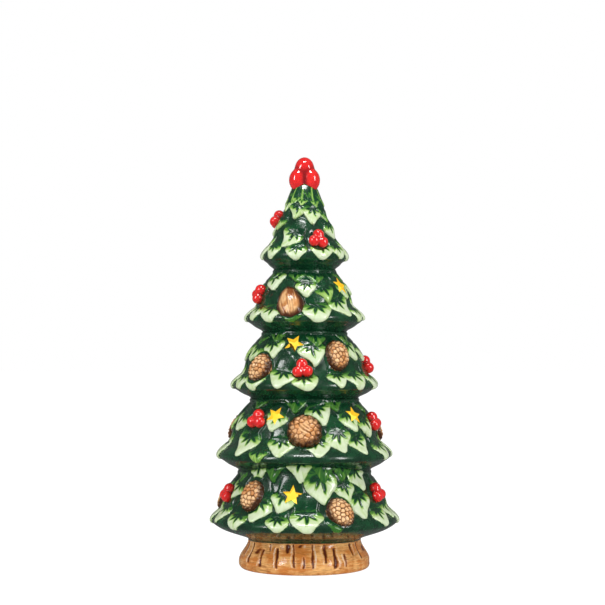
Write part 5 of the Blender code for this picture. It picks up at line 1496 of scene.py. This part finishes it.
# %% [markdown]
# ### Moulded plastic
# Cup and door are injection moulded in ivory polystyrene. The tool was spark eroded, which leaves a fine
# even grain, and where the melt met a wall there are faint flow marks. Handling darkens the door a little,
# and its free edge has ribs for the thumb, drawn into the surface as bumps.

# %% Ivory plastic
IVORY = rgb(226, 219, 200)
IVORY_SHADE = rgb(218, 210, 190)
RIB_PITCH = 0.0014
# Where each edge on the door starts and where it is complete: the ribs' field, the arrow's head and
# its stem, across the door and along it.
RIB_SIDES, RIBS_FROM, RIBS_TO = (0.0088, 0.0080), (0.0095, 0.0101), (0.0190, 0.0184)
HEAD_SIDES, HEAD_BASE = (0.0052, 0.0047), (-0.0061, -0.0057)
STEM_SIDES, STEM_FROM, STEM_TO = (0.0017, 0.0013), (-0.0140, -0.0136), (-0.0056, -0.0060)
HEAD_SHIFT = 0.0060

ivory_plastic = Finish("ivory_plastic", roughness=0.5, Specular_IOR_Level=0.4)
flow = ivory_plastic.place.stretch(1.0, 0.25, 0.6).noise(90.0, 3.0, 0.55)
grain = ivory_plastic.place.noise(5200.0, 2.0, 0.6)
ivory = flow.ramp(0.35, 0.75).blend(IVORY, IVORY_SHADE)
ivory_plastic.cover(ivory, 0.42 + flow * 0.12 + grain * 0.08, grain, 0.00006, 0.6)
dress(ivory_plastic, "light_housing")

door_plastic = Finish("door_plastic", roughness=0.5, Specular_IOR_Level=0.4)
x, y = door_plastic.place.part(0), door_plastic.place.part(1)
smudges = door_plastic.place.noise(70.0, 4.0, 0.6)
door_grain = door_plastic.place.noise(5200.0, 2.0, 0.6)
rib_field = x.size().ramp(*RIB_SIDES) * y.ramp(*RIBS_FROM) * y.ramp(*RIBS_TO)
ribs = (y * (TAU / RIB_PITCH)).wave() * 0.5 * rib_field
arrow_head = (x.size() + y + HEAD_SHIFT).ramp(*HEAD_SIDES) * y.ramp(*HEAD_BASE)
arrow_stem = x.size().ramp(*STEM_SIDES) * y.ramp(*STEM_FROM) * y.ramp(*STEM_TO)
raised = ribs + arrow_head.high(arrow_stem) * 0.6
handled = (smudges.ramp(0.45, 0.7) * 0.7 + rib_field * 0.3).blend(IVORY, IVORY_SHADE)
door_plastic.cover(handled, 0.40 + smudges * 0.16, raised + door_grain * 0.05, 0.0003, 0.8)
dress(door_plastic, "battery_door")

# %% Black plastic and rubber
KNOB_PITCH = 0.0008
black_plastic = Finish("black_plastic", roughness=0.35)
dust = black_plastic.place.noise(400.0, 4.0, 0.65)
black_grain = black_plastic.place.noise(6500.0, 2.0, 0.5)
knob_ribs = (black_plastic.place.part(1) * (TAU / KNOB_PITCH)).wave()
black = dust.ramp(0.5, 0.8).blend(rgb(22, 22, 24), rgb(46, 45, 44))
black_plastic.cover(black, 0.28 + dust * 0.2, knob_ribs * 0.5 + black_grain * 0.3, 0.00012, 0.8)
dress(black_plastic, "switch_case", "switch_knob")

grey_rubber = Finish("grey_rubber", roughness=0.8, Specular_IOR_Level=0.3)
bloom = grey_rubber.place.noise(260.0, 4.0, 0.6)
pores = grey_rubber.place.noise(3800.0, 2.0, 0.6)
grey = bloom.ramp(0.4, 0.75).blend(rgb(98, 98, 99), rgb(128, 126, 122))
grey_rubber.cover(grey, 0.68 + bloom * 0.2, pores, 0.0001, 0.5)
dress(grey_rubber, "unit_gasket")
print("ribs on the door:", round((RIBS_TO[0] - RIBS_FROM[0]) / RIB_PITCH))

# %% [markdown]
# ### Cells and contacts
# A cell is a drawn steel can in a printed sleeve. The sleeve here is plain: charcoal, with a copper
# band at the positive end, and it stops short of both ends, where the bare can shows. The middle cell
# lies the other way round. The contact plates are nickel-plated spring steel, stamped and bent, so
# their brushed grain runs along the strip.

# %% Cells
CELL_HALF = 0.02225
SLEEVE_MARGIN = 0.0011
BAND_WIDTH = 0.0115
PRINT_EDGE = 0.0001


def printed_edge(signal, place):
    """0 below a place and 1 above it, with an edge as sharp as print."""
    return signal.ramp(place - PRINT_EDGE, place + PRINT_EDGE)


def cell_jacket(name, towards):
    """A sleeve whose copper band is at the end that y points to, if towards is 1, or at the other."""
    finish = Finish(name, roughness=0.3, metallic=0.3)
    along = finish.place.part(1) * float(towards)
    scuffs = finish.place.stretch(1.0, 0.15, 1.0).noise(700.0, 4.0, 0.65)
    dents = finish.place.noise(160.0, 2.0)
    band = printed_edge(along, CELL_HALF - BAND_WIDTH)
    bare = printed_edge(along.size(), CELL_HALF - SLEEVE_MARGIN)
    copper = scuffs.blend(rgb(176, 112, 66), rgb(206, 142, 90))
    charcoal = scuffs.ramp(0.4, 0.8).blend(rgb(38, 39, 42), rgb(62, 62, 65))
    steel = scuffs.blend(rgb(168, 168, 170), rgb(200, 200, 202))
    finish.feed("Metallic", (band * 0.7 + 0.2).high(bare))
    colour = bare.blend(band.blend(charcoal, copper), steel)
    height = dents * 0.6 + scuffs * 0.4 - bare * 0.5
    finish.cover(colour, 0.24 + scuffs * 0.2, height, 0.00012, 0.6)
    return finish


dress(cell_jacket("cell_jacket_rear", 1), "battery_1", "battery_3")
dress(cell_jacket("cell_jacket_front", -1), "battery_2")

spring_steel = Finish("spring_steel", roughness=0.3, metallic=1.0)
brushed = spring_steel.place.stretch(0.08, 1.0, 1.0).noise(3000.0, 3.0, 0.6)
tarnish = spring_steel.place.noise(240.0, 3.0, 0.6)
plated = tarnish.ramp(0.45, 0.8).blend(rgb(214, 212, 206), rgb(168, 160, 146))
spring_steel.cover(plated, 0.2 + brushed * 0.22, brushed, 0.00004, 0.7)
dress(spring_steel, "contact_plus", "contact_bridge_rear", "contact_minus", "contact_bridge_front",
      "board_screw_1", "board_screw_2")
print("cell sleeve ends at", round((CELL_HALF - SLEEVE_MARGIN) / MM, 2), "mm")

# %% [markdown]
# ### Board and leads
# The board is green solder mask over copper. A ring track joins the three lamps, each lamp has a white
# printed circle round it, and the tracks lie a little proud under the mask. They're drawn here by
# distances from the board's middle.

# %% Board and leads
LED_RING = 0.009
LED_AZIMUTHS = (0.0, 120.0, 240.0)
OUTER_TRACK = 0.0165
TRACK_HALF = 0.0006
BRIDGE_FROM, BRIDGE_TO = (0.0085, 0.0095), (0.0170, 0.0160)  # straight tracks join the two rings
PRINTED_RADIUS, PRINTED_HALF = 0.0036, 0.0002


def over_each_lamp(finish, pattern):
    """A pattern of the distance from a lamp, laid over all three lamps."""
    x, y = finish.place.part(0), finish.place.part(1)
    laid = []
    for azimuth in LED_AZIMUTHS:
        lamp_x, lamp_y, _ = around(LED_RING, math.radians(azimuth), 0.0)
        laid.append(pattern(length(x - float(lamp_x), y - float(lamp_y))))
    return laid[0].high(laid[1]).high(laid[2])


board_mask = Finish("board_laminate", roughness=0.3, Coat_Weight=0.3)
x, y = board_mask.place.part(0), board_mask.place.part(1)
from_middle = length(x, y)
rings = near(from_middle, LED_RING, TRACK_HALF).high(near(from_middle, OUTER_TRACK, TRACK_HALF))
between = from_middle.ramp(*BRIDGE_FROM) * from_middle.ramp(*BRIDGE_TO)
tracks = rings.high(near(x + y, 0.0, TRACK_HALF) * between)
printed = over_each_lamp(board_mask, lambda away: near(away, PRINTED_RADIUS, PRINTED_HALF))
weave = board_mask.place.noise(900.0, 2.0)
green = tracks.blend(weave.blend(rgb(20, 92, 52), rgb(30, 108, 62)), rgb(52, 140, 84))
board = printed.blend(green, rgb(232, 232, 224))
board_mask.cover(board, 0.24 + weave * 0.14, tracks + weave * 0.15, 0.00006, 0.8)
dress(board_mask, "circuit_board")

for name, node, low, high in (
        ("red_insulation", "lead_red", (150, 14, 14), (186, 32, 26)),
        ("black_insulation", "lead_black", (16, 16, 17), (38, 38, 40))):
    jacket = Finish(name, roughness=0.3)
    drawn = jacket.place.stretch(1.0, 1.0, 0.1).noise(1800.0, 3.0)
    jacket.cover(drawn.blend(rgb(*low), rgb(*high)), 0.22 + drawn * 0.2, drawn, 0.00005, 0.6)
    dress(jacket, node)
print("board nodes:", len(board_mask.tree.nodes))

# %% [markdown]
# ### Lamps and dome
# Lamps of this kind are warm white with clear epoxy bodies. The lit chip sits low in the body, so the
# glow fades towards the tip. The dome over them is thin polypropylene, frosted by a fine grain: it
# glows evenly, a little brighter over each lamp, and it is this warm light that comes out of the stars.

# %% Lamps and dome
LED_CHIP_Z, LED_GLOW = 0.0215, 0.0045  # where the lit chip is, and how far up its light fades
SPOT_REACH = 0.012
lamp_lens = Finish("lamp_lens", roughness=0.08, Emission_Strength=1.0, Coat_Weight=0.5)
above_chip = lamp_lens.place.part(2).ramp(LED_CHIP_Z, LED_CHIP_Z + LED_GLOW)
swirl = lamp_lens.place.noise(900.0, 2.0)
lamp_lens.feed("Base Color", swirl.blend(rgb(250, 222, 140), rgb(255, 238, 186)))
lamp_lens.feed("Emission Color", above_chip.blend(rgb(255, 236, 160), rgb(238, 170, 48)))
lamp_lens.feed("Roughness", 0.05 + swirl * 0.08)
dress(lamp_lens, "led_1", "led_2", "led_3")

frosted = Finish("frosted_plastic", roughness=0.55, Emission_Strength=0.85)
haze = frosted.place.noise(120.0, 3.0)
frost = frosted.place.noise(4200.0, 2.0, 0.6)
spots = over_each_lamp(frosted, lambda away: away.ramp(SPOT_REACH, 0.0))
glow = (spots + (haze - 0.5) * 0.3).blend(rgb(236, 178, 52), rgb(255, 232, 130))
frosted.feed("Emission Color", glow)
milky = haze.blend(rgb(236, 226, 196), rgb(246, 238, 214))
frosted.cover(milky, 0.46 + frost * 0.2, frost, 0.00008, 0.7)
dress(frosted, "diffuser_dome")
print("lamps on a ring of", round(2 * LED_RING / MM), "mm")

# %% [markdown]
# ## Floor, backdrop and light
# The photograph is a cut-out on white. Here the tree stands on a pale paper floor. The background is
# white for the camera, but the glaze would lose all its colour if it mirrored a white room, so mirrored
# rays find a dim one, and with it the two tall soft boxes and the one overhead that make the glaze's
# highlights. The light on the tree comes from the boxes and an even sky. From below, the floor can be
# seen through, as if the tree stood on glass, because the light unit is pulled out that way.


# %% Lamps
def light(name, place, aim, size, power):
    """A soft box: a rectangle of light at a place, turned towards an aim."""
    data = bpy.data.lights.new(name, "AREA")
    data.shape = "RECTANGLE"
    data.size, data.size_y = size
    data.energy = power
    lamp = bpy.data.objects.new(name, data)
    lamp.location = place
    lamp.rotation_euler = (Vector(aim) - Vector(place)).to_track_quat("-Z", "Y").to_euler()
    bpy.context.scene.collection.objects.link(lamp)


light("left_box", (-1.1, -1.0, 0.75), (0, 0, 0.15), (0.25, 0.9), 9.0)
light("right_box", (1.1, -0.9, 0.65), (0, 0, 0.15), (0.25, 0.9), 9.0)
light("top_box", (0.0, -0.5, 1.4), (0, 0, 0.1), (0.5, 0.14), 7.0)
print("lamps:", len(bpy.data.lights))

# %% Background and floor
SKY_FOR_CAMERA = 1.0
SKY_MIRRORED = 0.14
SKY_LIGHT = 0.5
FLOOR_LIGHT = 0.22  # the floor is a light table, which brightens the tree from below
FLOOR_GLOW = 1.14
FLOOR_GLOW_SHARE = 0.85
FLOOR_MIRRORED = 0.16
PAPER_HALF = 6.0
PAPER_Z = -0.00005  # a hair below the foot, so that the two don't share a plane


def choose(tree, mask, first, second):
    """A shader that is the first where the mask is 0 and the second where it is 1."""
    made = tree.nodes.new("ShaderNodeMixShader")
    for place, source in zip(made.inputs, (mask, first, second)):
        tree.links.new(source, place)
    return made.outputs[0]


def glowing(tree, kind, strength):
    """A white shader of this type, as bright as its strength."""
    made = tree.nodes.new(kind)
    made.inputs["Color"].default_value = (1.0, 1.0, 1.0, 1.0)
    made.inputs["Strength"].default_value = strength
    return made.outputs[0]


def mirrored(tree, path):
    """1 for rays that come off or through something shiny."""
    made = tree.nodes.new("ShaderNodeMath")
    made.operation = "MAXIMUM"
    tree.links.new(path.outputs["Is Glossy Ray"], made.inputs[0])
    tree.links.new(path.outputs["Is Transmission Ray"], made.inputs[1])
    return made.outputs[0]


world = bpy.data.worlds.new("studio")
bpy.context.scene.world = world
world.use_nodes = True
tree = world.node_tree
tree.nodes.remove(tree.nodes["Background"])
path = tree.nodes.new("ShaderNodeLightPath")
skies = [glowing(tree, "ShaderNodeBackground", s) for s in (SKY_LIGHT, SKY_MIRRORED, SKY_FOR_CAMERA)]
room = choose(tree, mirrored(tree, path), skies[0], skies[1])
seen = choose(tree, path.outputs["Is Camera Ray"], room, skies[2])
tree.links.new(seen, tree.nodes["World Output"].inputs["Surface"])

corners = [(x * PAPER_HALF, y * PAPER_HALF, PAPER_Z) for x, y in ((-1, -1), (1, -1), (1, 1), (-1, 1))]
floor_mesh = mesh_of("floor", np.array(corners), np.array([(0, 1, 2, 3)]))
floor = bpy.data.objects.new("floor", floor_mesh)
bpy.context.scene.collection.objects.link(floor)
paper = Finish("floor_paper", roughness=0.9, Base_Color=(0.8, 0.8, 0.8, 1.0), Specular_IOR_Level=0.0,
               Emission_Color=(1.0, 1.0, 1.0, 1.0), Emission_Strength=FLOOR_LIGHT)
tree = paper.tree
path = tree.nodes.new("ShaderNodeLightPath")
share = tree.nodes.new("ShaderNodeMath")
share.operation = "MULTIPLY"
share.inputs[1].default_value = FLOOR_GLOW_SHARE
tree.links.new(path.outputs["Is Camera Ray"], share.inputs[0])
glow = glowing(tree, "ShaderNodeEmission", FLOOR_GLOW)
lit = choose(tree, share.outputs[0], paper.shader.outputs[0], glow)
dim = glowing(tree, "ShaderNodeEmission", FLOOR_MIRRORED)
above = choose(tree, mirrored(tree, path), lit, dim)
side = tree.nodes.new("ShaderNodeNewGeometry")
clear = tree.nodes.new("ShaderNodeBsdfTransparent")
both_sides = choose(tree, side.outputs["Backfacing"], above, clear.outputs[0])
tree.links.new(both_sides, tree.nodes["Material Output"].inputs["Surface"])
floor_mesh.materials.append(paper.material)
print("floor and sky for the camera:", FLOOR_GLOW, SKY_FOR_CAMERA)

# %% [markdown]
# Colours come out as they are written: the view is the standard one, with nothing on top.

# %% Finish
bpy.context.scene.view_settings.view_transform = "Standard"
